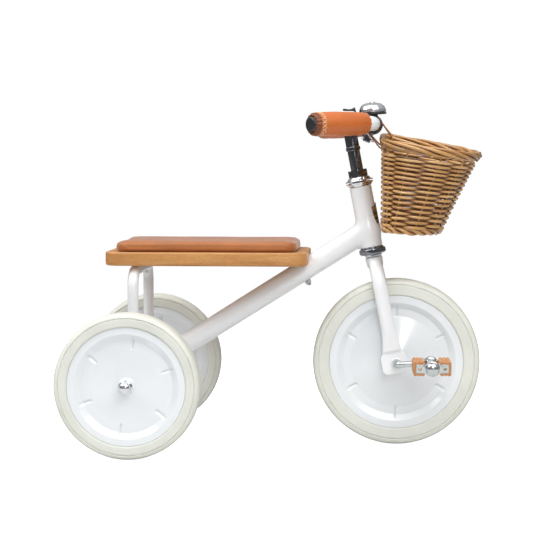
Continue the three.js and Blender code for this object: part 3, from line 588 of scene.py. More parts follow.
def rubber_tan():
    """Pedal rubber: tan, speckled with darker grit, chalky."""
    made = Shader("tan_rubber", (0.6, 0.28, 0.11), 0.65)
    speck = made.noise(made.place(), 900, 3, 0.7)
    tone = made.noise(made.place(), 60, 3)
    base = made.ramp(tone, (0.3, (0.53, 0.235, 0.09)), (0.7, (0.66, 0.33, 0.15)))
    gritty = made.mix(0.45, base, made.ramp(speck, (0.35, 0.4), (0.6, 1.0)), "MULTIPLY")
    made.color(gritty).roughness(speck, 0.5, 0.8).bump(speck, 0.12, 0.5)
    return made.material


def plastic_black():
    roughness = 0.38
    made = Shader("black_plastic", (0.014, 0.015, 0.018), roughness)
    grain = made.noise(made.place(), 700, 2)
    cloud = made.noise(made.place(), 30, 3)
    shade = made.ramp(cloud, (0.3, (0.010, 0.011, 0.013)), (0.7, (0.02, 0.021, 0.024)))
    made.color(shade).roughness(cloud, roughness - 0.08, roughness + 0.1).bump(grain, 0.03, 0.4)
    return made.material


def wicker():
    """Oiled willow: glossy, streaked along each rod, each rod its own tone, with painted shade in the
    crevices.
    """
    made = Shader("willow", (0.5, 0.26, 0.09), 0.28, Coat_Weight=0.5, Coat_Roughness=0.12)
    along = made.place((18, 420, 420), attribute="fibre")
    streak = made.noise(along, 1, 4, 0.6, 0.4)
    knots = made.noise(made.place((26, 120, 120), attribute="fibre"), 1, 2)
    tint = made.attribute("tint")
    # painted shade: the mesh's shade attribute mixes the colour up to 0.84 of the way to the dark brown
    # below, where rods lie deep in the weave
    deep = made.ramp(made.attribute("shade"), (0.0, 0.0), (1.0, 0.84))
    base = made.ramp(tint, (0.0, (0.37, 0.165, 0.042)), (0.5, (0.57, 0.295, 0.088)),
                     (1.0, (0.74, 0.45, 0.18)))
    streaked = made.mix(0.6, base, made.ramp(streak, (0.28, 0.66), (0.68, 1.1)), "MULTIPLY")
    spotted = made.mix(made.ramp(knots, (0.66, 0.0), (0.74, 0.55)), streaked, (0.14, 0.055, 0.018))
    shaded = made.mix(deep, spotted, (0.17, 0.055, 0.016))
    made.color(shaded).roughness(streak, 0.18, 0.32).bump(streak, 0.06, 0.25)
    return made.material


def thread():
    made = Shader("thread", (0.72, 0.48, 0.28), 0.7)
    twist = made.noise(made.place(), 1500, 2)
    made.color(made.ramp(twist, (0.35, (0.6, 0.37, 0.2)), (0.65, (0.82, 0.58, 0.36))))
    made.bump(twist, 0.1, 0.5)
    return made.material


WHITE_PAINT = paint("white_paint", (0.85, 0.86, 0.87))
WHITE_PLASTIC = plastic_white()
CREAM_RUBBER = rubber_cream()
CHROME = metal("chrome", (0.74, 0.75, 0.77), 0.05, 0.1, 0.04)
# chrome with its colour darkened to stand in for the dark surroundings it reflects: a painted reflection,
# used on the stem, the locknut and the lower headset cup
CHROME_DARKENED_FOR_REFLECTION = metal("dark_chrome", (0.27, 0.28, 0.31), 0.09, 0.16, 0.04)
ZINC = metal("zinc", (0.62, 0.66, 0.66), 0.16, 0.3, 0.15)
BRASS = metal("brass_plate", (0.66, 0.5, 0.36), 0.16, 0.3, 0.3)
BEECH = wood_beech()
PAD_LEATHER = leather("pad_leather", (0.34, 0.105, 0.022), (0.43, 0.145, 0.033), 1100, 0.45)
GRIP_LEATHER = leather("grip_leather", (0.52, 0.125, 0.022), (0.62, 0.16, 0.03), 800, 0.0, (0.26, 0.42))
STRAP_LEATHER = leather("strap_leather", (0.42, 0.15, 0.045), (0.55, 0.22, 0.075), 900)
TAN_RUBBER = rubber_tan()
BLACK = plastic_black()
WILLOW = wicker()
THREAD = thread()


# ---- wheels -----------------------------------------------------------------------------------

WHEEL_SEGMENTS = 240
FRONT_DISC = {"disc": 120, "step_out": 106.5, "step_in": 96, "rim": 16.5, "face": 9, "boss": 29,
              "cone_edge": 82, "cone_in": 24, "cone_rise": 12.3, "groove": (82, 101), "turn": 30}
REAR_DISC = {"disc": 102.5, "step_out": 90.5, "step_in": 80, "rim": 17, "face": 9.5, "boss": 16.5,
             "cone_edge": 64, "cone_in": 24, "cone_rise": 1.5, "groove": (65, 86), "turn": 21.6}
GROOVE = {"half": 4.2, "depth": 3.0, "count": 6}
TYRE_GAP = 0.1  # between a disc's edge and its tyre


def tyre(name, body, centre, bore):
    """A solid tyre: crowned tread, round shoulders, a thin groove on each flank."""
    low, high = node_box(name)
    radius = (high.z - low.z) / 2
    half = (high.y - low.y) / 2
    line = 0.9275 * radius  # the groove's middle
    flank = [
        (bore, 3, 0), (bore, half - 1.8, 0.8), (bore + 2.2, half - 0.4, 1),
        (line - 1.4, half + 0.1, 0.3), (line, half - 1.9, 0.2), (line + 1.4, half - 0.1, 0.3),
        (radius - 4.2, half - 1.6, 4.5), (radius - 0.7, half - 7.5, 6), (radius, 2, 0),
    ]
    upper = eased(flank, steps=6)
    profile = upper + [(r, -h) for r, h in reversed(upper)]
    shape = revolve(profile, WHEEL_SEGMENTS)
    tread = [smooth((math.hypot(p.x, p.y) - radius + 4) / 3) for p in shape[0]]
    place = Matrix.Translation(centre) @ sideways(1)
    Part().add(shape, place, tread=tread).piece(
        name + "_fine", CREAM_RUBBER, body, "cream_rubber", [name])


def disc(name, body, centre, size, side, turn_sign):
    """Half of a wheel: boss, shallow cone, groove marks, sloping step and flat rim."""
    rim, face = size["rim"], size["face"]
    first, last = size["groove"]
    corners = [
        (9, 1, 0), (9, size["boss"] - 1, 0.6), (12.4, size["boss"], 1),
        (15.5, face + size["cone_rise"] + 1.2, 3), (size["cone_in"], face + size["cone_rise"], 5),
        (size["cone_edge"], face, 8), (size["step_in"], face, 3.5), (size["step_out"], rim, 3),
        (size["disc"] - 0.8, rim, 0.7), (size["disc"], rim - 1, 0.5), (size["disc"], 1, 0),
    ]
    profile = eased(corners, steps=8)
    # more rings where the groove marks are, so that they are cut cleanly
    fine = []
    for (r0, h0), (r1, h1) in zip(profile, profile[1:]):
        crosses = r1 > first - 3 and r0 < last + 3 and r1 > r0
        count = max(1, round(r1 - r0)) if crosses else 1
        fine += [(lerp(r0, r1, k / count), lerp(h0, h1, k / count)) for k in range(count)]
    fine.append(profile[-1])

    def dented(radius, height, angle):
        if not first - 3 < radius < last + 3 or height < face - 3:
            return radius, height
        sector = 2 * math.pi / GROOVE["count"]
        offset = (angle - math.radians(size["turn"])) % sector
        offset = min(offset, sector - offset) * radius
        share = (radius - first) / (last - first)
        width = GROOVE["half"] * (0.8 + 0.3 * share)
        across = max(0, 1 - offset / width) ** 1.25
        along = smooth((radius - first + 2) / 4) * smooth((last + 2 - radius) / 4)
        return radius, height - GROOVE["depth"] * across * along

    shape = revolve(fine, 720, dented)
    # seen from outside, angles run the other way on the left
    place = Matrix.Translation(centre) @ sideways(side)
    if turn_sign < 0:
        place = place @ Matrix.Scale(-1, 4, (0, 1, 0))
    Part().add(shape, place).piece(name + "_fine", WHITE_PLASTIC, body, "white_plastic", [name], 50)


def wheels():
    tyre("front_tyre", "front_wheel", FRONT_HUB, FRONT_DISC["disc"] + TYRE_GAP)
    for word, side in SIDES.items():
        disc("front_disc_" + word, "front_wheel", FRONT_HUB, FRONT_DISC, side, -side)
        hub = joint_place(f"rear_wheel_{word}_spin")
        body = "rear_wheel_" + word
        tyre(f"rear_{word}_tyre", body, hub, REAR_DISC["disc"] + TYRE_GAP)
        disc(f"rear_{word}_disc_outer", body, hub, REAR_DISC, side, -side)
        disc(f"rear_{word}_disc_inner", body, hub, REAR_DISC, -side, side)
        finish_node(f"rear_{word}_bush", BLACK)


# ---- frame ------------------------------------------------------------------------------------

def frame_weldment():
    """Head tube, main tube, axle tube and seat hoop as one weldment with filleted joints."""
    tube_dir = Vector((math.cos(MAIN_TUBE["angle"]), 0, math.sin(MAIN_TUBE["angle"])))
    tube_end = REAR_HUB + tube_dir * MAIN_TUBE["length"]
    head_low = STEERING @ Vector((0, 0, HEAD_TUBE["bottom"]))
    head_high = STEERING @ Vector((0, 0, HEAD_TUBE["top"]))
    axle_end = Vector((0, AXLE_TUBE["half"], 0))
    axle = [REAR_HUB - axle_end, REAR_HUB + axle_end]
    top = PLANK_LOW.z - 0.3 - HOOP["radius"]
    hoop_corners = [
        Vector((HOOP["x"], side * HOOP["half"], z))
        for side, z in ((-1, REAR_HUB.z), (-1, top), (1, top), (1, REAR_HUB.z))
    ]
    hoop = rounded_path(hoop_corners, HOOP["bend"])
    origin = np.array(STEERING.translation)
    up = np.array(STEER_AXIS)
    past = STEER_AXIS * 40  # the head tube runs on here and is cut off square below
    hub = np.array(REAR_HUB)
    along = np.array(tube_dir)

    def field(points):
        height = (points - origin) @ up
        head = to_segment(points, head_low - past, head_high + past) - HEAD_TUBE["radius"]
        main = to_segment(points, REAR_HUB - tube_dir * 40, tube_end) - MAIN_TUBE["radius"]
        # the main tube stops at the axle line, with an eased rim
        main = -fuse(-main, (points - hub) @ along, 8)
        tube = to_segment(points, axle[0] - axle_end, axle[1] + axle_end) - AXLE_TUBE["radius"]
        loop = to_path(points, hoop) - HOOP["radius"]
        tube = np.maximum(tube, np.abs(points[:, 1]) - AXLE_TUBE["half"])
        rear = fuse(fuse(tube, main, 7), loop, 6)
        front = fuse(main, head, 11)
        body = np.where(points[:, 0] < -250, rear, front)
        body = np.maximum(body, height - HEAD_TUBE["top"])
        return np.where(points[:, 0] < -68, body, np.maximum(body, HEAD_TUBE["bottom"] - height))

    seeds = [
        rod([head_low, head_high], HEAD_TUBE["radius"] + 1, 24),
        rod([REAR_HUB, tube_end], MAIN_TUBE["radius"] + 1, 24),
        rod(axle, AXLE_TUBE["radius"] + 1, 24),
        rod(hoop, HOOP["radius"] + 1, 16),
    ]
    shape = skin(seeds, field, 2.0)
    Part().add(shape).piece(
        "frame_weldment", WHITE_PAINT, "frame", "white_paint",
        ["head_tube", "main_tube", "rear_axle_tube", "seat_hoop"], 50)


def turned_piece(name, body, profile, material, slot, place):
    """A turned piece that stands for the CAD node of that name."""
    shape = revolve(eased(profile, closed=profile[0][0] > 0), 72)
    Part().add(shape, place).piece(name + "_fine", material, body, slot, [name])


def headset():
    low = HEAD_TUBE["bottom"] - 0.3
    high = HEAD_TUBE["top"] + 0.3
    turned_piece("lower_headset_cup", "frame", [
        (15.4, low, 0), (20.6, low, 0.4), (20.6, low - 1.6, 0.3), (CUP_RADIUS, low - 3.4, 1.6),
        (CUP_RADIUS, low - 10.4, 2.2), (21.2, low - 12.4, 0.5), (20.4, low - 12.4, 0.3), (20.4, low - 4, 0),
        (15.4, low - 4, 0)], CHROME_DARKENED_FOR_REFLECTION, "dark_chrome", STEERING)
    turned_piece("upper_headset_cup", "frame", [
        (15.4, high, 0), (20.3, high, 0.4), (20.8, high + 1.4, 0.5), (23.6, high + 4.4, 1),
        (24.4, high + 5.6, 0.4), (24.6, high + 6.6, 0.4), (21, high + 6.5, 0.3), (21, high + 3.2, 0),
        (15.4, high + 3.2, 0)],
        CHROME, "chrome", STEERING)
    cone = HEAD_TUBE["top"] + 9.2
    bore = STEERER_RADIUS + 0.3
    turned_piece("headset_top_race", "steering", [
        (bore, cone, 0), (25, cone, 0.5), (25, cone + 1.7, 0.7), (21.6, cone + 2.2, 1), (20, cone + 4.8, 1.2),
        (18.2, cone + 7.2, 0.4), (bore, cone + 7.2, 0)], CHROME, "chrome", STEERING)
    race = CROWN + 0.5
    turned_piece("crown_race", "steering", [
        (bore, race, 0), (14.2, race, 0.6), (15.2, race + 2.2, 1), (15.2, race + 5.2, 0.6),
        (bore, race + 6.5, 0)],
        CHROME, "chrome", STEERING)
    locknut(cone + 7.5)
    for name in ("lower_bearing", "upper_bearing"):
        finish_node(name, CHROME)


def hexed(across_flats, chamfer):
    """A shape for revolve: cuts a turned blank to a hexagon with chamfered corners."""
    flat = across_flats / 2

    def shape(radius, height, angle):
        turn = (angle + math.pi / 6) % (math.pi / 3) - math.pi / 6
        return min(radius, flat / math.cos(turn) - chamfer * 0.05), height
    return shape


def hex_blank(across_flats, low, high, bore=0.0, chamfer=1.0):
    """The profile of a hexagon nut or head before its flats are cut."""
    corner = across_flats / math.sqrt(3)
    rows = [(corner - 1.6 * chamfer, low), (corner, low + 0.8 * chamfer)]
    rows += [(corner, lerp(low, high, k / 4)) for k in (1, 2, 3)]
    rows += [(corner, high - 0.8 * chamfer), (corner - 1.6 * chamfer, high)]
    if bore:
        return [(bore, low)] + rows + [(bore, high)]
    return [(0, low)] + rows + [(0, high)]


def locknut(low):
    blank = hex_blank(32, low, LOCKNUT_TOP, 11.6)
    shape = revolve(blank, 144, hexed(32, 1))
    Part().add(shape, STEERING @ Matrix.Rotation(math.radians(8), 4, "Z")).piece(
        "headset_locknut_fine", CHROME_DARKENED_FOR_REFLECTION, "steering", "dark_chrome", ["headset_locknut"], 20)


def head_badge():
    """A blank shield on the front of the head tube, with a raised edge."""
    corners = [(0, 29, 3), (9, 23.6, 6), (18.6, 21.5, 1.5), (17.6, 2, 30), (11, -17, 20), (0, -30, 2),
               (-11, -17, 20), (-17.6, 2, 30), (-18.6, 21.5, 1.5), (-9, 23.6, 6)]
    outline = eased(corners, closed=True, steps=5)
    dense = []
    for (x0, y0), (x1, y1) in zip(outline, outline[1:] + outline[:1]):
        count = max(1, round(math.hypot(x1 - x0, y1 - y0) / 1.5))
        dense += [(lerp(x0, x1, k / count), lerp(y0, y1, k / count)) for k in range(count)]
    centre = 260
    levels = [(0.97, 0.3), (1.0, 0.5), (1.0, 1.7), (0.98, 2.2), (0.93, 2.25), (0.9, 1.8), (0.6, 1.85),
              (0.3, 1.9), (0.02, 1.9)]
    rings = []
    for scale, lift in levels:
        radius = HEAD_TUBE["radius"] + lift
        ring = []
        for x, y in dense:
            angle = x * scale / HEAD_TUBE["radius"]
            ring.append(Vector((radius * math.cos(angle), radius * math.sin(angle), centre + y * scale)))
        rings.append(ring)
    Part().add(loft(rings), STEERING).piece(
        "head_badge_fine", CHROME, "frame", "chrome", ["head_badge"], 30)


def axle_ends():
    for word, side in SIDES.items():
        inner = AXLE_HALF - 9.6
        place = Matrix.Translation(REAR_HUB) @ sideways(side)
        dome = [(9.9 * math.cos(a), inner + 9.2 + 8 * math.sin(a)) for a in np.linspace(0, math.pi / 2, 14)]
        dome[-1] = (0, dome[-1][1])
        flange = [
            (0, inner + 0.1), (5.3, inner + 0.1), (12.0, inner), (12.5, inner + 0.6),
            (12.4, inner + 1.4), (11.6, inner + 2.2), (10.2, inner + 2.7), (9.9, inner + 3.6),
        ]
        profile = flange + dome
        Part().add(revolve(profile, 72), place).piece(
            f"cap_nut_{word}_fine", CHROME, "frame", "chrome", [f"cap_nut_{word}"], 45)
    finish_node("rear_axle", ZINC)


def seat_fasteners():
    tilt = Matrix.Rotation(math.pi / 2 - MAIN_TUBE["angle"], 4, "Y")
    place = (
        Matrix.Translation(REAR_HUB) @ tilt @ Matrix.Translation((0, 0, SEAT_BOLT_ALONG_TUBE))
        @ Matrix.Rotation(-math.pi / 2, 4, "Y")
    )
    part = Part()
    part.add(revolve(hex_blank(10, -25.6, -21.2, 3.1, 0.6), 96, hexed(10, 1)), place)
    washer = [(3.1, -19.6, 0), (6.4, -19.6, 0.3), (6.4, -21.0, 0.3), (3.1, -21.0, 0)]
    part.add(revolve(eased(washer, True), 48), place)
    part.piece("seat_nut_front_fine", ZINC, "frame", "zinc", ["seat_nut_front"], 20)
    shank = [(0, 36), (3, 36)]
    for k in range(14):
        shank += [(3.0, -16 - k * 0.9), (2.6, -16.45 - k * 0.9)]
    shank += [(2.4, -28.6), (0, -28.9)]
    Part().add(revolve(shank, 32), place).piece(
        "seat_bolt_front_fine", ZINC, "frame", "zinc", ["seat_bolt_front"], 30)
    low = PLANK_LOW.z - 2 * HOOP["radius"] - 0.8
    for word, side in SIDES.items():
        spot = Matrix.Translation((HOOP["x"], side * SEAT_BOLT_SPREAD, 0))
        profile = [
            (0, low - 2.4), (2, low - 2.4), (2.4, low - 3.5), (3.6, low - 3.3), (5.2, low - 2.3),
            (6, low - 0.6), (6, low), (3, low), (3, PLANK_LOW.z + 18), (0, PLANK_LOW.z + 18),
        ]
        Part().add(revolve(profile, 48), spot).piece(
            f"seat_bolt_{word}_fine", ZINC, "frame", "zinc", [f"seat_bolt_{word}"], 40)


# ---- seat -------------------------------------------------------------------------------------

def seat_plank():
    outline = rectangle(PLANK_LOW.x, PLANK_HIGH.x, PLANK_LOW.y, PLANK_HIGH.y, 30, 14)
    shape = slab(outline, PLANK_LOW.z, PLANK_HIGH.z, 3.2, 6)
    Part().add(shape).piece("seat_plank_fine", BEECH, "frame", "beech", ["seat_plank"], 60)


def seat_pad():
    """Foam under leather: a simulated swell over a flat base, with its sides rolled under."""
    shrink = 1.6
    floor = PAD_LOW.z + 0.4
    outline = rectangle(
        PAD_LOW.x + shrink, PAD_HIGH.x - shrink, PAD_LOW.y + shrink, PAD_HIGH.y - shrink, 25, 10)
    part = Part().add(slab(outline, floor, PAD_HIGH.z - 2.2, 5.5, 5))
    pad = part.piece("seat_cushion", PAD_LEATHER, "frame", "tan_leather", ["seat_pad"], 180)
    remesh = pad.modifiers.new("remesh", "REMESH")
    remesh.mode = "VOXEL"
    remesh.voxel_size = 4.5 * MM
    applied(pad)
    swell(pad, 4.0, 2.0)
    settle(pad, floor)
    divide = pad.modifiers.new("divide", "SUBSURF")
    divide.levels = divide.render_levels = 1
    applied(pad)
    pad.data.shade_smooth()
    pad.data.materials.clear()
    pad.data.materials.append(PAD_LEATHER)


def swell(pad, pressure, most):
    """Blows the pad up a little with a cloth simulation; no point moves further than most."""
    start = [v.co.copy() for v in pad.data.vertices]
    held = pad.vertex_groups.new(name="held")
    low = min(p.z for p in start)
    held.add([i for i, p in enumerate(start) if p.z < low + 3 * MM], 1.0, "REPLACE")
    cloth = pad.modifiers.new("cloth", "CLOTH")
    cloth.settings.use_pressure = True
    cloth.settings.uniform_pressure_force = pressure
    cloth.settings.effector_weights.gravity = 0
    cloth.settings.vertex_group_mass = "held"
    cloth.point_cache.frame_start = 1
    cloth.point_cache.frame_end = 20
    scene = bpy.context.scene
    for number in range(1, 21):
        scene.frame_set(number)
    evaluated = pad.evaluated_get(bpy.context.evaluated_depsgraph_get())
    moved = [v.co.copy() for v in evaluated.data.vertices]
    pad.modifiers.clear()
    scene.frame_set(1)
    for vertex, before, after in zip(pad.data.vertices, start, moved):
        step = after - before
        if step.length > most * MM:
            step = step.normalized() * most * MM
        vertex.co = before + step
    pad.vertex_groups.clear()


def settle(pad, floor):
    """Keeps a pad inside its CAD box and flat on the plank, its top held under a gentle crown."""
    low, high = PAD_LOW, PAD_HIGH
    middle = (low + high) / 2
    half = (high - low) / 2
    for vertex in pad.data.vertices:
        p = vertex.co / MM
        p.z = max(p.z, floor)
        crown = 1 - ((p.x - middle.x) / half.x) ** 4
        crown *= 1 - ((p.y - middle.y) / half.y) ** 4
        if p.z > high.z - 6:
            p.z = min(p.z, high.z - 1.2 + 2.2 * crown)
        p.x = min(max(p.x, low.x - 0.5), high.x + 0.5)
        p.y = min(max(p.y, low.y - 0.5), high.y + 0.5)
        vertex.co = p * MM


# ---- cranks and pedals ------------------------------------------------------------------------

def crank_axle():
    """One bent rod: spindle, arm, axle, arm, spindle. The left half is the right one turned over."""
    bend = Vector((CRANK["length"], -CRANK["arm"], 0))
    end = bend + SPINDLE * (PEDAL["outer"] + 1 - CRANK["arm"])
    right = [end, bend, Vector((0, -CRANK["arm"], 0))]
    left = [Vector((-p.x, -p.y, p.z)) for p in reversed(right)]
    path = rounded_path(right + left, 8, 0.8)
    Part().add(rod(path, ROD_RADIUS, 24), CRANK_PLACE).piece(
        "crank_axle_fine", ZINC, "front_wheel", "zinc", ["crank_axle"], 60)


def block_top(x, near, far):
    """Half the height of a pedal rubber, scalloped into three ribs."""
    share = (x - near) / (far - near)
    return 10.9 + 1.7 * abs(math.sin(3 * math.pi * share)) ** 0.8


def pedal_block(near, far):
    """One rubber, for the outer end at -Y, with a lip round the end plate."""
    xs = [lerp(near, far, k / 36) for k in range(37)]
    top = [(x, block_top(x, near, far)) for x in xs]
    flank = [(far + 0.25, z) for z in (8, 4, 0, -4, -8)]
    whole = top + flank + [(x, -z) for x, z in reversed(top)]

    def outline(inset):
        middle = (near + far) / 2
        return [(lerp(x, middle, inset / 12), z * (1 - inset / 12)) for x, z in whole]

    body = slab(outline, PEDAL["inner"] + 2.4, PEDAL["outer"] - 1.4, 0.8)
    pocket_x, pocket_z = 28.9, 8.0
    inner = [(pocket_x, -pocket_z), (pocket_x, pocket_z)]
    lip = top + flank + [(x, -z) for x, z in reversed(top)] + [(near, -pocket_z)] + inner + [(near, pocket_z)]
    levels = (PEDAL["outer"] - 1.8, PEDAL["outer"] + 0.9)
    rings = [[Vector((x, z, level)) for x, z in lip] for level in levels]
    return body, loft(rings)


def end_plate_outline(inset):
    """A strip with a round boss in the middle."""
    x, z, boss = 28.4 - inset, 7.5 - inset, 13.6 - inset
    arc = [math.radians(a) for a in range(52, 129, 8)]
    top = [(x, z, 1.2), (boss * 1.12, z, 4)] + [(boss * math.cos(a), boss * math.sin(a)) for a in arc]
    top += [(-boss * 1.12, z, 4), (-x, z, 1.2)]
    bottom = [(-c[0], -c[1], *c[2:]) for c in top]
    return eased(top + bottom, closed=True, steps=4)


def screw(x):
    """A pan-head screw in the end plate: head with a cross recess."""
    low = PEDAL["outer"] + 0.9
    head = [(0, low - 1), (3.1, low - 1)]
    head += [(3.1 * math.cos(a), low + 2.1 * math.sin(a)) for a in np.linspace(0, 1.25, 7)]
    head += [(0.9, low + 1.5), (0, low + 1.3)]

    def crossed(radius, height, angle):
        arm = abs(math.sin(2 * angle))
        sunk = 0.9 * (1 - smooth(arm * radius / 0.9)) if radius < 2.3 else 0
        return radius, height - sunk

    points, faces = revolve(head, 48, crossed)
    return [p + Vector((x, 0, 0)) for p in points], faces


def pedal_place(side):
    """Where +Z runs out along a spindle, +Y is up, and heights count from the wheel's middle."""
    half_turn = Matrix.Rotation(math.pi if side > 0 else 0, 4, "Z")
    bend = Matrix.Translation((CRANK["length"], -CRANK["arm"], 0))
    along_spindle = Vector((0, -1, 0)).rotation_difference(SPINDLE).to_matrix().to_4x4()
    level = Matrix.Rotation(-side * CRANK["rise"], 4, "Y")
    back = Matrix.Translation((0, CRANK["arm"], 0))
    return CRANK_PLACE @ half_turn @ bend @ along_spindle @ level @ back @ sideways(-1)


def pedal(word, side):
    body = "pedal_" + word
    place = pedal_place(side)
    inner, outer = PEDAL["inner"], PEDAL["outer"]
    cage = Part()
    cage.add(slab(rectangle(-29, 29, -7, 7, 3), inner, inner + 2, 0.4), place)
    plate = [(6, inner - 0.2), (12.4, inner - 0.2), (14, inner + 0.8), (13.6, inner + 2.0), (12, inner + 1.7),
             (10.6, inner + 2.8), (9.6, inner + 3.2), (9, inner + 5), (9, outer - 3), (6, outer - 3)]
    cage.add(revolve(plate, 72), place)
    cage.piece(f"pedal_{word}_cage_fine", ZINC, body, "zinc", [f"pedal_{word}_cage"])

    end = Part()
    end.add(slab(end_plate_outline, outer - 1, outer + 1, 0.45), place)
    dome = [(0, outer + 0.2), (12.9, outer + 0.2), (12.9, outer + 1.4), (12.3, outer + 1.9)]
    dome += [(12.0 * math.cos(a), outer + 1.9 + 9.3 * math.sin(a)) for a in np.linspace(0.02, 1.45, 18)]
    dome.append((0, outer + 11.2))
    end.add(revolve(dome, 72), place)
    end.piece(f"pedal_{word}_end_plate_fine", ZINC, body, "zinc", [f"pedal_{word}_end_plate"], 30)

    screws = Part()
    for x in (-21.8, 21.8):
        screws.add(screw(x), place)
    screws.piece(f"pedal_{word}_screws", BRASS, body, "zinc", (), 30)

    for name, turn in (("front", 0), ("rear", 1)):
        flip = Matrix.Rotation(math.pi * turn, 4, "Z")
        block = Part()
        for shape in pedal_block(13.5, 32.5):
            block.add(shape, place @ flip)
        node = f"pedal_{word}_block_{name}"
        block.piece(node + "_fine", TAN_RUBBER, body, "tan_rubber", [node], 45)


# ---- fork, stem and handlebar -------------------------------------------------------------------

def box_field(points, low, high, ease):
    """Distances to a box with eased edges."""
    middle, half = (np.array(low) + high) / 2, (np.array(high) - low) / 2 - ease
    outside = np.abs(points - middle) - half
    return np.linalg.norm(np.maximum(outside, 0), axis=1) + np.minimum(outside.max(1), 0) - ease


# The axle plates, in the steering axis's frame.
FORK_PLATE = {"back": -21.5, "front": 24, "low": -18, "high": 19, "corner": 9, "y": 36, "half": 3}


def fork_leg_end(points, side):
    """A leg below its round part: it widens and flattens, then tucks in behind the plate's face."""
    radius = LEG["radius"]
    x, y, z = points[:, 0], points[:, 1] * side, points[:, 2]
    wide = radius + 6.5 * np.clip((75 - z) / 55, 0, 1.3) ** 2.2
    squash = np.clip((60 - z) / 34, 0, 1)
    squash = squash * squash * (3 - 2 * squash)
    tuck = np.clip((26 - z) / 9, 0, 1)
    tuck = tuck * tuck * (3 - 2 * tuck)
    deep = radius + (8 - radius) * squash - 4 * tuck
    power = 2 + 1.5 * squash
    u = np.abs(x - LEG["x"]) / wide
    v = np.abs(y - LEG["offset"] - 0.8 * squash) / deep
    section = ((u ** power + v ** power + 1e-9) ** (1 / power) - 1) * deep
    return np.maximum(section, 8 - z)


def fork_plate(points, side):
    """A plate with round corners and slightly eased edges."""
    size, ease = FORK_PLATE, 0.8
    x, y, z = points[:, 0], points[:, 1] * side, points[:, 2]
    middle_x, middle_z = (size["back"] + size["front"]) / 2, (size["low"] + size["high"]) / 2
    over_x = np.abs(x - middle_x) - (size["front"] - size["back"]) / 2 + size["corner"]
    over_z = np.abs(z - middle_z) - (size["high"] - size["low"]) / 2 + size["corner"]
    outside = np.hypot(np.maximum(over_x, 0), np.maximum(over_z, 0))
    outline = outside + np.minimum(np.maximum(over_x, over_z), 0)
    flat = outline - size["corner"] + ease
    deep = np.abs(y - size["y"]) - size["half"] + ease
    return np.hypot(np.maximum(flat, 0), np.maximum(deep, 0)) + np.minimum(np.maximum(flat, deep), 0) - ease


def fork():
    """Steerer, crown and two legs whose flattened ends are welded on the axle plates."""
    radius, offset, lean = LEG["radius"], LEG["offset"], LEG["x"]
    legs = []
    for side in (-1, 1):
        corners = [
            Vector((0, 0, CROWN)), Vector((lean, side * offset, 157)), Vector((lean, side * offset, 0)),
        ]
        legs.append(rounded_path(corners, 44, 3))

    def field(points):
        steerer = to_segment(points, (0, 0, CROWN - 14), (0, 0, 380)) - STEERER_RADIUS
        steerer = np.maximum(steerer, points[:, 2] - (LOCKNUT_TOP - 3))
        shoulder = np.hypot(points[:, 0], points[:, 1]) - 14.2
        shoulder = np.maximum(shoulder, np.abs(points[:, 2] - (CROWN - 9)) - 9)
        arms = [to_path(points, path) - radius for path in legs]
        crown = fuse(fuse(arms[0], arms[1], 7), shoulder, 5)
        crown = np.maximum(crown, points[:, 2] - CROWN)
        upper = np.minimum(crown, steerer)
        ends = [fuse(fork_leg_end(points, side), fork_plate(points, side), 1.5) for side in (-1, 1)]
        return np.where(points[:, 2] > 90, upper, np.minimum(*ends))

    seeds = [rod([Vector((0, 0, CROWN - 10)), Vector((0, 0, LOCKNUT_TOP - 3))], STEERER_RADIUS + 1, 20)]
    plate_box = (FORK_PLATE["back"], FORK_PLATE["front"], FORK_PLATE["low"], FORK_PLATE["high"])
    for side, path in zip((-1, 1), legs):
        seeds.append(rod(path[:-1] + [Vector((lean, side * offset, 22))], radius + 1, 20))
        for outline, low, high in (
            (rectangle(*plate_box, 9), 32, 40),
            (rectangle(-17, 19, 12, 44, 6), 27, 41),
        ):
            points, faces = slab(outline, low, high)
            seeds.append(([Vector((p.x, side * p.z, p.y)) for p in points], faces))
    shape = skin(seeds, field, 1.5)
    Part().add(shape, STEERING).piece("fork_fine", WHITE_PAINT, "steering", "white_paint", ["fork"], 50)

    for word, side in SIDES.items():
        spot = STEERING @ Matrix.Translation((4.5, 0, 0)) @ sideways(side)
        profile = [
            (5.8, 31.6, 0), (8, 31.6, 0.3), (8, 39.3, 0.2), (10.4, 39.3, 0.3), (10.4, 40.8, 0.6),
            (9, 41.5, 0.5), (7.7, 41.5, 0.4), (7.2, 38.8, 0.3), (5.8, 38.8, 0),
        ]
        turned_piece("fork_bush_" + word, "steering", profile, WHITE_PLASTIC, "white_plastic", spot)


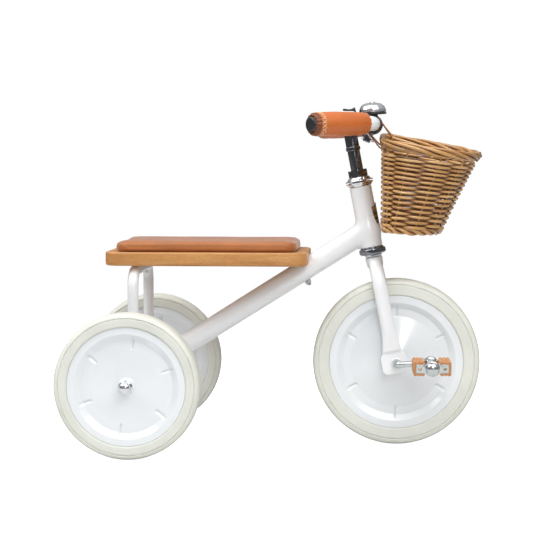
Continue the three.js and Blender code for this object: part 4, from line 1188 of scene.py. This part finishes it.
def stem():
    """Quill, shoulder, curved neck and split clamp, polished."""
    reach, height = BAR["reach"], BAR["height"]
    lower = eased([(8, 262, 0), (11.1, 266, 2), (11.1, 386.2, 0), (12.6, 386.6, 0.3), (12.9, 387.2, 0.4),
                   (12.9, 392, 0), (8, 392, 0)], closed=True)
    neck_corners = [Vector((0, 0, 392)), Vector((0, 0, height)), Vector((reach - 12, 0, height))]
    neck = rounded_path(neck_corners, 16, 2)
    lean = Matrix.Translation((reach, 0, height)) @ Matrix.Rotation(CLAMP_LEAN, 4, "Y")
    to_clamp = np.array(lean.inverted())
    centre = np.array((reach, 0, height))

    def field(points):
        tube = np.where(points[:, 2] < 393, np.hypot(points[:, 0], points[:, 1]) - 12.9, 1e3)
        arm = to_path(points, neck) - 11.8
        across = np.hypot(points[:, 0] - centre[0], points[:, 2] - centre[2])
        collar = np.maximum(across - 17.6, np.abs(points[:, 1]) - 15)
        q = points @ to_clamp[:3, :3].T + to_clamp[:3, 3]
        ears = box_field(q, (-6.5, -10, -33), (6.5, 10, -8), 1.5)
        body = fuse(fuse(np.minimum(tube, arm), collar, 6), ears, 4)
        slot = 1.5 - np.abs(q[:, 0])
        slot = np.where(q[:, 2] < -8, slot, -1e3)
        body = np.maximum(body, slot)
        body = np.maximum(body, BAR["radius"] + 0.25 - across)
        return np.maximum(body, 391 - points[:, 2])

    block, block_faces = slab(rectangle(-7, 7, -10.5, 10.5, 1), -33.5, 0)
    seeds = [
        rod(neck, 13, 20),
        rod([Vector((reach, y, height)) for y in (-15, 15)], 18.6, 24),
        ([lean @ p for p in block], block_faces),
    ]
    shape = skin(seeds, field, 1.1, 4)
    part = Part().add(shape, STEERING)
    part.add(revolve(lower, 72), STEERING)
    part.piece("stem_fine", CHROME_DARKENED_FOR_REFLECTION, "steering", "dark_chrome", ["stem"], 40)

    across = lean @ Matrix.Translation((0, 0, -26.5)) @ Matrix.Rotation(math.pi / 2, 4, "Y")
    bolt = Part()
    bolt.add(revolve(hex_blank(10, -10.6, -6.6, 0, 0.6), 96, hexed(10, 1)), STEERING @ across)
    bolt.add(rod([Vector((0, 0, -7)), Vector((0, 0, 13))], 3, 24), STEERING @ across)
    bolt.piece("bar_clamp_bolt_fine", CHROME, "steering", "zinc", ["bar_clamp_bolt"], 20)
    finish_node("stem_expander_bolt", ZINC)


def grip_point(along, side):
    """A point of the bar's swept end, so far past the bend."""
    bend = BAR["bend"]
    x = -bend * (1 - math.cos(BAR_SWEEP)) - along * math.sin(BAR_SWEEP)
    y = BAR["straight"] + bend * math.sin(BAR_SWEEP) + along * math.cos(BAR_SWEEP)
    return Vector((x, side * y, 0))


def grip_place(side):
    turn = Matrix.Rotation(side * BAR_SWEEP, 4, "Z") @ sideways(side)
    return BAR_PLACE @ Matrix.Translation(grip_point(0, side)) @ turn


def handlebar():
    corner = BAR["straight"] + BAR["bend"] * math.tan(BAR_SWEEP / 2)
    corners = [grip_point(GRIP_LENGTH - 1, -1), Vector((0, -corner, 0)), Vector((0, corner, 0)),
               grip_point(GRIP_LENGTH - 1, 1)]
    path = rounded_path(corners, BAR["bend"], 2.5)
    Part().add(rod(path, BAR["radius"], 40), BAR_PLACE).piece(
        "handlebar_fine", WHITE_PAINT, "steering", "white_paint", ["handlebar"], 60)


GRIP_START = -4  # the sleeve reaches this far onto the bend
GRIP_STITCH = {"at": GRIP_LENGTH - 15, "count": 17, "half": 3.6}


def grip_radius(along):
    """The grip's bulged outline: radius at a distance past the bend."""
    seam = GRIP_STITCH["at"]
    marks = [
        (GRIP_START, 14.4), (GRIP_START + 1, 16), (GRIP_START + 3, 17.4), (GRIP_START + 9, 18.8), (17, 19.9),
        (34, 20.5), (60, 20.8), (80, 20.3), (seam - 7, 19.7), (seam, 19.0), (seam + 4, 19.3),
        (seam + 8, 19.0), (seam + 12, 17.6), (seam + 14, 15.6),
    ]
    for (a, r0), (b, r1) in zip(marks, marks[1:]):
        if along <= b:
            return lerp(r0, r1, smooth((along - a) / (b - a)) * 0.4 + 0.6 * (along - a) / (b - a))
    return marks[-1][1]


def grip(word, side):
    """A leather sleeve sewn round the bar, gathered at its outer seam, with a plug in the end."""
    place = grip_place(side)
    bore = BAR["radius"] + 0.5
    finish = GRIP_LENGTH - 1
    steps = [lerp(GRIP_START, finish, k / 126) for k in range(127)]
    profile = [(bore, GRIP_START)] + [(grip_radius(s), s) for s in steps] + [(bore, finish)]
    count, seam = GRIP_STITCH["count"], GRIP_STITCH["at"]

    def gathered(radius, height, angle):
        if radius < BAR["radius"] + 1:
            return radius, height
        near_seam = math.exp(-((height - seam) / 3.4) ** 2)
        pucker = 0.55 * near_seam * math.cos(count * angle)
        outer = smooth((height - seam) / 6) * 0.5 * math.cos(count * angle + 0.6)
        inner = smooth((GRIP_START + 7 - height) / 6) * 0.35 * math.cos(15 * angle)
        dent = -0.5 * math.exp(-((height - seam) / 1.2) ** 2)
        lump = 0.25 * math.sin(2 * angle + height / 21) + 0.15 * math.sin(5 * angle - height / 13)
        return radius + pucker + outer + inner + dent + lump, height

    shape = revolve(profile, 144, gathered)
    burnish = [
        0.85 * smooth((p.z - seam - 3) / 5)
        + 0.12 * smooth((GRIP_START + 4 - p.z) / 4)
        + 0.12 * math.exp(-((p.z - seam) / 2.5) ** 2)
        for p in shape[0]
    ]
    made = Part().add(shape, place, burnish=burnish).piece(
        f"grip_{word}_leather", GRIP_LEATHER, "steering", "tan_leather", [f"grip_{word}"], 180)

    stitches = Part()
    half = GRIP_STITCH["half"]
    for k in range(count):
        for lean in (-1, 1):
            path = []
            for step in range(7):
                share = step / 6 - 0.5
                height = seam + 2 * half * share
                angle = 2 * math.pi * (k + 0.5 + lean * share * 0.75) / count
                lift = 0.75 * math.cos(math.pi * share) - 0.25 + (0.15 if lean > 0 else 0)
                radius = gathered(grip_radius(height), height, angle)[0] + lift
                path.append(Vector((radius * math.cos(angle), radius * math.sin(angle), height)))
            stitches.add(rod(path, 0.72, 8), place)
    for k in range(15):
        path = []
        for step in range(5):
            share = step / 4
            height = GRIP_START + 1 + 4.2 * share
            angle = 2 * math.pi * (k + 0.25 * share) / 15
            radius = gathered(grip_radius(height), height, angle)[0] + 0.3 * math.sin(math.pi * share)
            path.append(Vector((radius * math.cos(angle), radius * math.sin(angle), height)))
        stitches.add(rod(path, 0.4, 6), place)
    stitches.piece(f"grip_{word}_stitches", THREAD, "steering", "tan_leather")

    cap = GRIP_LENGTH
    plug = eased([
        (0, cap - 14), (8.6, cap - 14, 0), (8.6, cap - 1.4, 0), (13, cap - 0.6, 0.3),
        (13.2, cap + 1.6, 1.2), (11, cap + 3.2, 2), (0, cap + 3.9),
    ])
    Part().add(revolve(plug, 64), place).piece(
        f"bar_plug_{word}_fine", BLACK, "steering", "black_plastic", [f"bar_plug_{word}"], 50)


# ---- bell -------------------------------------------------------------------------------------

def bell():
    """Band, seat plate, chromed dome with a nub, and the thumb lever."""
    base = Part()
    band = eased([(12.9, -6, 0), (15.2, -6, 0.8), (15.2, 6, 0.8), (12.9, 6, 0)], True)
    base.add(revolve(band, 64), BELL_PLACE @ sideways(1))
    base.add(slab(rectangle(-9, 9, -6, 6, 2), 12.6, 17.6, 0.3), BELL_PLACE)
    seat = eased([
        (0, 16.6), (22.6, 16.6, 1), (24.4, 17.6, 0.7), (24.4, 19.4, 0.7), (20.5, 19.9, 0.5), (0, 20.0),
    ])
    base.add(revolve(seat, 96), BELL_PLACE)
    base.add(rod([Vector((0, 0, 18)), Vector((0, 0, 33))], 3, 20), BELL_PLACE)
    pin = Vector((-20.5, 0, 12))
    base.add(rod([pin, pin + Vector((0, 0, 5))], 1.8, 16), BELL_PLACE)
    base.piece("bell_base_fine", BLACK, "steering", "black_plastic", ["bell_base"])

    outer = [
        (21.8, 20.3, 0), (23.2, 20.2, 0.3), (23.4, 21.6, 0.6), (22.7, 25.5, 6), (20.2, 31, 6),
        (14.5, 35, 8), (4.6, 36.9, 1), (4.0, 37.4, 0.5), (3.4, 38.5, 1), (0, 39.2),
    ]
    inner = [(0, 34.6), (12, 33.6, 4), (18.6, 29.4, 5), (21.2, 24, 2)]
    profile = eased(inner + outer, steps=7)
    Part().add(revolve(profile, 96), BELL_PLACE).piece(
        "bell_dome_fine", CHROME, "steering", "chrome", ["bell_dome"], 40)

    z = 12.6
    lever = Part()
    eye = eased([(2.1, z, 0), (4.2, z, 0.4), (4.2, z + 3.4, 0.4), (2.1, z + 3.4, 0)], True)
    lever.add(revolve(eye, 32), BELL_PLACE @ Matrix.Translation((-20.5, 0, 0)))
    # along the lever: where, half its width, its lower and its upper face
    arm = [
        (-23, 2.6, z, z + 3.2), (-26, 3.2, z, z + 3.6), (-28.4, 4.0, z + 0.6, z + 8),
        (-29.6, 4.6, z + 6, z + 14.5), (-31, 5.4, z + 9.4, z + 18.2), (-33, 6.0, z + 10.4, z + 16.2),
        (-37, 6.2, z + 10.8, z + 14.2), (-42, 6.6, z + 10.9, z + 14.0), (-47, 6.2, z + 11.0, z + 15.2),
        (-50.5, 5.0, z + 11.4, z + 15.6), (-52, 3.2, z + 12.3, z + 14.6),
    ]
    rings = []
    for x, half, low, high in arm:
        middle, tall = (low + high) / 2, (high - low) / 2
        rings.append([Vector((x, half * c, middle + tall * s)) for c, s in superellipse(20, 3.2)])
    lever.add(loft(rings), BELL_PLACE)
    piece = lever.piece("bell_lever_fine", BLACK, "bell_lever", "black_plastic", ["bell_lever"], 60)
    divide = piece.modifiers.new("divide", "SUBSURF")
    divide.levels = divide.render_levels = 1


def superellipse(count, power):
    """Unit points of a squared circle."""
    made = []
    for x, y in circle(count):
        size = (abs(x) ** power + abs(y) ** power) ** (1 / power)
        made.append((x / size, y / size))
    return made


# ---- basket -----------------------------------------------------------------------------------

BASKET_RISE = BASKET["rim"] - BASKET["floor"]


def section_shares():
    """How far round the basket, from its front to its back, each stretch of the outline ends."""
    size = {key: (BASKET["top"][key] + BASKET["bottom"][key]) / 2 for key in ("depth", "width", "corner")}
    half, corner = size["width"] / 2, size["corner"]
    lengths = [math.pi / 2 * half, size["depth"] - half - corner, math.pi / 2 * corner, half - corner]
    total = sum(lengths)
    return [sum(lengths[:i + 1]) / total for i in range(4)]


SECTIONS = section_shares()


def outline_point(size, inset, station):
    """A point of a D-shaped outline. station runs from 0 at the front, by the right side, to 1."""
    station %= 1.0
    side = -1 if station < 0.5 else 1
    way = 2 * min(station, 1 - station)
    half, corner = size["width"] / 2 - inset, size["corner"] - inset
    straight = size["depth"] - size["width"] / 2
    front, flank, bend, _ = SECTIONS
    if way < front:
        angle = way / front * math.pi / 2
        return straight + half * math.cos(angle), side * half * math.sin(angle)
    if way < flank:
        return lerp(straight, inset + corner, (way - front) / (flank - front)), side * half
    if way < bend:
        angle = (way - flank) / (bend - flank) * math.pi / 2
        return inset + corner * (1 - math.sin(angle)), side * (half - corner * (1 - math.cos(angle)))
    return inset, side * lerp(half - corner, 0, (way - bend) / (1 - bend))


def basket_point(station, share, inset):
    """A point of the basket's wall: share is 0 at the floor and 1 at the rim."""
    x0, y0 = outline_point(BASKET["bottom"], inset, station)
    x1, y1 = outline_point(BASKET["top"], inset, station)
    x, y = lerp(x0, x1, share), lerp(y0, y1, share)
    slope = lerp(BASKET["floor_slope"], BASKET["rim_slope"], share)
    z = BASKET["floor"] + share * BASKET_RISE - slope * x + BASKET["roll"] * y
    return Vector((BASKET["back"] + x, y, z))


# the stakes of each side, from the front; one more is at the back
STAKE_WAYS = [0.044, 0.22, 0.395, 0.57, 0.672, 0.836]
STAKES = [w / 2 for w in STAKE_WAYS] + [0.5] + [1 - w / 2 for w in reversed(STAKE_WAYS)]
WALL_MIDDLE = 5.0  # the stakes' centre, in from the outer outline
STAKE_RADIUS = 2.0
WEAVE_REACH = 4.6  # a rod's middle from the stake's, where they cross
WEAVE_LOW, WEAVE_HIGH = 0.075, 0.9


def stake_station(index):
    """The station at a stake's number; numbers between stakes are between them."""
    count = len(STAKES)
    whole = math.floor(index)
    a = STAKES[whole % count] + whole // count
    b = STAKES[(whole + 1) % count] + (whole + 1) // count
    return lerp(a, b, index - whole)


def add_willow(part, path, radii, rng, tint=None, sides=8, closed=False, up=UP, shade=0.3):
    """One willow rod, with its own tone and its fibre coordinates. shade is how much painted shade it gets
    for
    lying deep in the work, from 0 to 1: a number, or a function of a point's number and its angle round the
    rod."""
    shape = rod(path, radii, sides, up=up, closed=closed)
    tone = min(1, max(0, rng.gauss(0.5, 0.2))) if tint is None else tint
    seed = rng.uniform(0, 50)
    fibre = []
    travelled = 0.0
    ring = circle(sides, 2.4 * MM)
    for i, here in enumerate(path):
        if i:
            travelled += (here - path[i - 1]).length
        fibre += [(seed + travelled * MM, seed + x, y) for x, y in ring]
    if callable(shade):
        turns = [2 * math.pi * k / sides for k in range(sides)]
        shade = [min(1, max(0, shade(i, turn))) for i in range(len(path)) for turn in turns]
    # shade goes to the willow material as painted shade
    part.add(shape, tint=tone, fibre=fibre, shade=shade)


def tapered(count, radius, butt, tip, ends=3):
    """Radii along a rod, from butt to tip, blunt at both ends."""
    radii = [radius * lerp(butt, tip, k / (count - 1)) for k in range(count)]
    for k in range(ends):
        share = math.sin(math.pi / 2 * (k + 0.35) / ends)
        radii[k] *= share
        radii[-1 - k] *= share
    return radii


def basket_weave():
    """Rods woven over and under the stakes, row on row, each tucked in behind where it ends."""
    rng = random.Random(11)
    part = Part()
    rows, count = 29, len(STAKES)
    finish = rows * count
    start = 0
    while start < finish:
        end = min(finish, start + rng.choice((13, 15, 17, 19)))
        steps = (end - start) * 14
        path, swings, swells = [], [], []
        wobble = rng.uniform(0, 6)
        thick = rng.uniform(2.5, 2.8)
        for k in range(steps + 1):
            q = start - 0.35 + (end - start + 0.7) * k / steps
            done = min(1, max(0, q / finish))
            share = lerp(WEAVE_LOW, WEAVE_HIGH, done * (1.17 - 0.17 * done))
            swing = math.cos(math.pi * q)
            swing = math.copysign(abs(swing) ** 0.85, swing)
            inset = WALL_MIDDLE - swing * WEAVE_REACH
            swings.append(swing)
            swells.append(lerp(0.84, 1.0, abs(swing)))
            drift = (0.45 * math.sin(q * 1.7 + wobble) + 0.3 * math.sin(q * 4.1 + wobble)) / BASKET_RISE
            path.append(basket_point(stake_station(q), share + drift, inset))
        pitch = lerp(1.12, 0.92, smooth(4 * start / finish))
        radii = tapered(len(path), thick * pitch, 1.06, 0.94)
        radii = [r * swell for r, swell in zip(radii, swells)]

        def woven_shade(i, turn):
            """Painted shade near the wall's middle and where a rod meets the rows above and below."""
            out = WEAVE_REACH * swings[i] - radii[i] * math.sin(turn)
            deep_weave_shade = 1 - smooth((abs(out) - 0.8) / 4.0)
            return deep_weave_shade + 0.3 * max(0, abs(math.cos(turn)) - 0.6) / 0.4

        add_willow(part, path, radii, rng, sides=12, shade=woven_shade)
        start = end
    part.piece("basket_weave", WILLOW, "steering", "willow", ["basket"], 180)


def basket_stakes():
    rng = random.Random(5)
    part = Part()
    for station in STAKES:
        path = []
        for k in range(27):
            sway = 0.0012 * math.sin(k * 0.9 + station * 40)
            path.append(basket_point(station + sway, lerp(0.03, 0.97, k / 26), WALL_MIDDLE))
        add_willow(part, path, tapered(len(path), STAKE_RADIUS, 1.08, 0.94), rng,
                   tint=rng.uniform(0.55, 0.9), up=Vector((1, 0.3, 0)))
    part.piece("basket_stakes", WILLOW, "steering", "willow", (), 180)


def rope(part, rng, strands, turns, share, inset, size, radius, steps=420, wobble=0.35):
    """Rods laid side by side round an oval core that slowly turns as it goes round the basket."""
    wide, tall = size
    for strand in range(strands):
        path, radii = [], []
        phase = rng.uniform(0, 6)
        for k in range(steps):
            station = k / steps
            turn = 2 * math.pi * (strand / strands + turns * station)
            out = wide * math.cos(turn) + wobble * math.sin(station * 61 + phase)
            rise = tall * math.sin(turn) + wobble * math.sin(station * 47 + 2 * phase)
            path.append(basket_point(station, share + rise / BASKET_RISE, inset - out))
            radii.append(radius * (1 + 0.07 * math.sin(station * 38 + phase)))

        def rope_shade(i, around):
            """Painted shade on the side that faces the rope's core."""
            turn = 2 * math.pi * (strand / strands + turns * i / steps)
            way = Vector((wide * math.cos(turn), tall * math.sin(turn))).normalized()
            facing = way.dot(Vector((-math.sin(around), math.cos(around))))
            return 1 - smooth((facing + 0.15) / 0.8)

        add_willow(part, path, radii, rng, closed=True, sides=12, shade=rope_shade)


RIM = {"rods": 5, "turns": 3, "wide": 3.6, "tall": 5.8, "radius": 3.1, "inset": 2.2}
RIM_TIPS = 15


def basket_rim():
    """The rolled border: a rope of long rods round a core, with cut tips showing below it."""
    rng = random.Random(3)
    part = Part()
    rope(part, rng, RIM["rods"], RIM["turns"], 1.0, RIM["inset"], (RIM["wide"], RIM["tall"]), RIM["radius"])
    rope(part, rng, 2, RIM["turns"], 1.0, RIM["inset"], (1.2, 2.6), 2.6)
    for number in range(RIM_TIPS):
        first = (number + rng.uniform(-0.25, 0.25)) / RIM_TIPS
        path = []
        for k in range(9):
            drop = RIM["tall"] + lerp(0.5, 3.4, k / 8)
            path.append(basket_point(first + 0.0034 * k, 1 - drop / BASKET_RISE, lerp(1.0, -0.6, k / 8)))
        add_willow(part, path, tapered(len(path), 2.3, 1.0, 0.9, 2), rng, sides=10)
    part.piece("basket_rim", WILLOW, "steering", "willow", (), 180)


def basket_foot():
    """The foot border, a short-pitched rope."""
    rng = random.Random(8)
    part = Part()
    rope(part, rng, 3, 7, 0.036, 3.6, (2.6, 3.7), 3.1, wobble=0.25)
    part.piece("basket_foot", WILLOW, "steering", "willow", (), 180)


def basket_floor():
    """Sticks from back to front with rods woven across them."""
    rng = random.Random(21)
    part = Part()
    level = 0.03
    size = BASKET["bottom"]
    inset = 5.0

    def half_width(x):
        straight = size["depth"] - size["width"] / 2
        half = size["width"] / 2 - inset
        if x <= straight:
            return half
        return math.sqrt(max(half * half - (x - straight) ** 2, 0))

    def floor_at(x, y, lift):
        z = BASKET["floor"] + level * BASKET_RISE - BASKET["floor_slope"] * x + BASKET["roll"] * y
        return Vector((BASKET["back"] + x, y, z + lift))

    sticks = [-63 + 21 * k for k in range(7)]
    for y in sticks:
        far = size["depth"] - size["width"] / 2 + math.sqrt((size["width"] / 2 - inset) ** 2 - y * y)
        path = [floor_at(lerp(inset, far, k / 20), y + 0.6 * math.sin(k), 0) for k in range(21)]
        add_willow(part, path, tapered(len(path), 2.2, 1, 1), rng)
    row, x = 0, inset + 1.5
    while half_width(x) > 14:
        half = half_width(x)
        count = max(8, round(2 * half / 3))
        path = []
        for k in range(count + 1):
            y = lerp(-half, half, k / count)
            swing = math.cos(math.pi * (y + 63) / 21 + math.pi * row)
            path.append(floor_at(x, y, 2.6 * swing))
        add_willow(part, path, tapered(len(path), 2.2, 1.05, 0.95), rng)
        row += 1
        x += 3.7
    part.piece("basket_floor", WILLOW, "steering", "willow", (), 180)


# ---- straps -----------------------------------------------------------------------------------

def belt_path(a, b, radius_a, radius_b, step=0.12):
    """Points round two circles in the XZ plane, as a taut belt runs, with each one's outward way."""
    along = math.atan2(b[1] - a[1], b[0] - a[0])
    distance = math.hypot(b[0] - a[0], b[1] - a[1])
    splay = math.acos((radius_a - radius_b) / distance)
    made = []
    for centre, radius, start, end in (
        (a, radius_a, along + splay, along - splay + 2 * math.pi),
        (b, radius_b, along - splay, along + splay),
    ):
        count = max(6, round((end - start) / step))
        for k in range(count + 1):
            angle = lerp(start, end, k / count)
            way = Vector((math.cos(angle), 0, math.sin(angle)))
            made.append((Vector((centre[0], 0, centre[1])) + way * radius, way))
    dense = []
    for (p, way), (q, next_way) in zip(made, made[1:] + made[:1]):
        count = max(1, round((q - p).length / 2))
        dense += [(p.lerp(q, k / count), way.lerp(next_way, k / count).normalized()) for k in range(count)]
    return dense


def strap(word, side):
    """A leather belt from the bar round the basket's rim, with a frame buckle below."""
    bar = BAR_PLACE.translation
    drop = side * STRAP["offset"] * BASKET["roll"]
    rim = (BASKET["back"] + 4, BASKET["rim"] + 1 + drop)
    on_bar, on_rim = BAR["radius"] + 0.6, 12.6
    thick, wide = STRAP["thickness"], STRAP["width"] / 2
    place = Matrix.Translation((0, side * STRAP["offset"], 0))
    rings = []
    for p, way in belt_path((bar.x, bar.z), rim, on_bar + thick / 2, on_rim + thick / 2):
        ring = []
        for c, s in superellipse(20, 5):
            ring.append(p + way * (thick / 2 * s) + Vector((0, wide * c, 0)))
        rings.append(ring)
    shape = loft(rings, closed=True)
    burnish = [0.5 * smooth((abs(p.y) - wide + 0.8) / 0.8) for p in shape[0]]
    Part().add(shape, place, burnish=burnish).piece(
        f"basket_strap_{word}_leather", STRAP_LEATHER, "steering", "tan_leather",
        [f"basket_strap_{word}"], 60)

    seam = Part()
    holes = belt_path((bar.x, bar.z), rim, on_bar + thick + 0.05, on_rim + thick + 0.05, 0.1)
    for y in (-wide + 2.4, wide - 2.4):
        for k in range(0, len(holes) - 2, 3):
            p, q = holes[k][0], holes[k + 1][0]
            seam.add(rod([p + Vector((0, y, 0)), q + Vector((0, y, 0))], 0.35, 6), place)
    seam.piece(f"basket_strap_{word}_stitches", THREAD, "steering", "tan_leather")
    buckle(word, side, bar, rim, on_bar, on_rim)


def buckle(word, side, bar, rim, on_bar, on_rim):
    """A bent-wire frame with a prong, on the strap's lower run."""
    along = math.atan2(rim[1] - bar.z, rim[0] - bar.x)
    distance = math.hypot(rim[0] - bar.x, rim[1] - bar.z)
    away = along - math.acos((on_bar - on_rim) / distance)
    middle = (on_bar + on_rim) / 2 + STRAP["thickness"]
    way = Vector((math.cos(away), 0, math.sin(away)))
    run = Vector((-way.z, 0, way.x))
    spot = Vector(((bar.x + rim[0]) / 2, side * STRAP["offset"], (bar.z + rim[1]) / 2)) + way * (middle + 0.9)
    half_y, half_run = STRAP["width"] / 2 + 2.2, 6.0
    corners = eased([
        (-half_y, -half_run, 2), (half_y, -half_run, 2), (half_y, half_run, 2), (-half_y, half_run, 2),
    ], closed=True)
    path = [spot + Vector((0, y, 0)) + run * r for y, r in corners]
    part = Part().add(rod(path, 1.1, 12, up=way, closed=True))
    part.add(rod([spot + Vector((0, y, 0)) - way * 0.2 for y in (-half_y, half_y)], 1.0, 12))
    tongue = [spot + way * 0.6, spot + way - run * 3, spot + way * 0.6 - run * 6.6]
    part.add(rod(tongue, [0.9, 0.8, 0.6], 10))
    part.piece(f"strap_buckle_{word}_fine", ZINC, "steering", "buckle_metal", [f"strap_buckle_{word}"], 50)


# ---- studio -----------------------------------------------------------------------------------

def aim(thing, target):
    thing.rotation_mode = "QUATERNION"
    thing.rotation_quaternion = (Vector(target) - thing.location).to_track_quat("-Z", "Y")


def floor_paper():
    """White paper that fades into the white surround far from the object."""
    paper = Shader("floor_paper", (0.66, 0.66, 0.66), 0.8,
                   Specular_IOR_Level=0.1, Emission_Color=(1, 1, 1, 1))
    # seen directly it is burnt out, without throwing that much light on the object
    seen = paper.node("LightPath").outputs["Is Camera Ray"]
    paper.tree.links.new(seen, paper.surface.inputs["Emission Strength"])
    spot = paper.coordinates.outputs["Object"]
    away = paper.node("VectorMath", {0: spot}, operation="LENGTH").outputs["Value"]
    reach = {"Value": away, "From Min": 1.2, "From Max": 3.0, "To Min": 1.0, "To Max": 0.0}
    fade = paper.node("MapRange", reach, interpolation_type="SMOOTHSTEP").outputs[0]
    paper.tree.links.new(fade, paper.surface.inputs["Alpha"])
    return paper.material


def softbox(name, place, target, size, power, height=None):
    light = bpy.data.lights.new(name, "AREA")
    light.shape = "RECTANGLE"
    light.size = size
    light.size_y = height or size
    light.energy = power
    made = bpy.data.objects.new(name, light)
    bpy.context.scene.collection.objects.link(made)
    made.location = place
    aim(made, target)


def studio():
    """A pale floor, two large softboxes above, a strip beside the camera and a broad top light."""
    scene = bpy.context.scene
    scene.view_settings.view_transform = "Standard"
    floor = bpy.data.meshes.new("floor")
    edge = 6.0
    corners = [(-edge, -edge, 0), (edge, -edge, 0), (edge, edge, 0), (-edge, edge, 0)]
    floor.from_pydata(corners, [], [(0, 1, 2, 3)])
    plane = bpy.data.objects.new("floor", floor)
    scene.collection.objects.link(plane)
    floor.materials.append(floor_paper())

    middle = (-0.2, 0, 0.3)
    softbox("softbox_left", (-1.95, -0.5, 2.1), middle, 1.8, 34, 1.3)
    softbox("softbox_right", (0.7, -1.5, 2.0), middle, 1.8, 27, 1.3)
    softbox("strip", (0.40, -2.8, 1.13), (0, 0, 0.15), 0.29, 10, 0.8)
    softbox("top_light", (-0.2, -0.6, 3.0), middle, 2.4, 28)

    world = bpy.data.worlds.new("studio")
    scene.world = world
    world.use_nodes = True
    tree = world.node_tree
    tree.nodes.clear()
    output = tree.nodes.new("ShaderNodeOutputWorld")
    seen = tree.nodes.new("ShaderNodeBackground")
    seen.inputs["Color"].default_value = (1, 1, 1, 1)
    seen.inputs["Strength"].default_value = 1.0
    lit = tree.nodes.new("ShaderNodeBackground")
    lit.inputs["Strength"].default_value = 1.0
    place = tree.nodes.new("ShaderNodeTexCoord")
    split = tree.nodes.new("ShaderNodeSeparateXYZ")
    tree.links.new(place.outputs["Generated"], split.inputs[0])
    ramp = tree.nodes.new("ShaderNodeValToRGB")
    tree.links.new(split.outputs["Z"], ramp.inputs["Fac"])
    stops = [(0.0, 0.12), (0.06, 0.15), (0.45, 0.46), (1.0, 0.75)]
    while len(ramp.color_ramp.elements) < len(stops):
        ramp.color_ramp.elements.new(0.5)
    for element, (position, value) in zip(ramp.color_ramp.elements, stops):
        element.position = position
        element.color = (value, value, value * 1.01, 1)
    tree.links.new(ramp.outputs["Color"], lit.inputs["Color"])
    rays = tree.nodes.new("ShaderNodeLightPath")
    blend = tree.nodes.new("ShaderNodeMixShader")
    tree.links.new(rays.outputs["Is Camera Ray"], blend.inputs["Fac"])
    tree.links.new(lit.outputs[0], blend.inputs[1])
    tree.links.new(seen.outputs[0], blend.inputs[2])
    tree.links.new(blend.outputs[0], output.inputs["Surface"])


def camera():
    """A long lens, about four degrees to the right of square on and above the level."""
    azimuth, elevation = math.radians(4.07), math.radians(4.25)
    distance = 2.75
    target = Vector((-0.2344, 0, 0.3194))
    lens = bpy.data.cameras.new("camera")
    lens.lens = 102.69
    lens.sensor_width = 36
    made = bpy.data.objects.new("camera", lens)
    bpy.context.scene.collection.objects.link(made)
    back = Vector((math.sin(azimuth) * math.cos(elevation), -math.cos(azimuth) * math.cos(elevation),
                   math.sin(elevation)))
    made.location = target + back * distance
    aim(made, target)
    bpy.context.scene.camera = made


camera()
studio()
wheels()
frame_weldment()
headset()
head_badge()
axle_ends()
seat_fasteners()
seat_plank()
seat_pad()
crank_axle()
for word, side in SIDES.items():
    pedal(word, side)
fork()
stem()
handlebar()
for word, side in SIDES.items():
    grip(word, side)
bell()
basket_weave()
basket_stakes()
basket_rim()
basket_foot()
basket_floor()
for word, side in SIDES.items():
    strap(word, side)
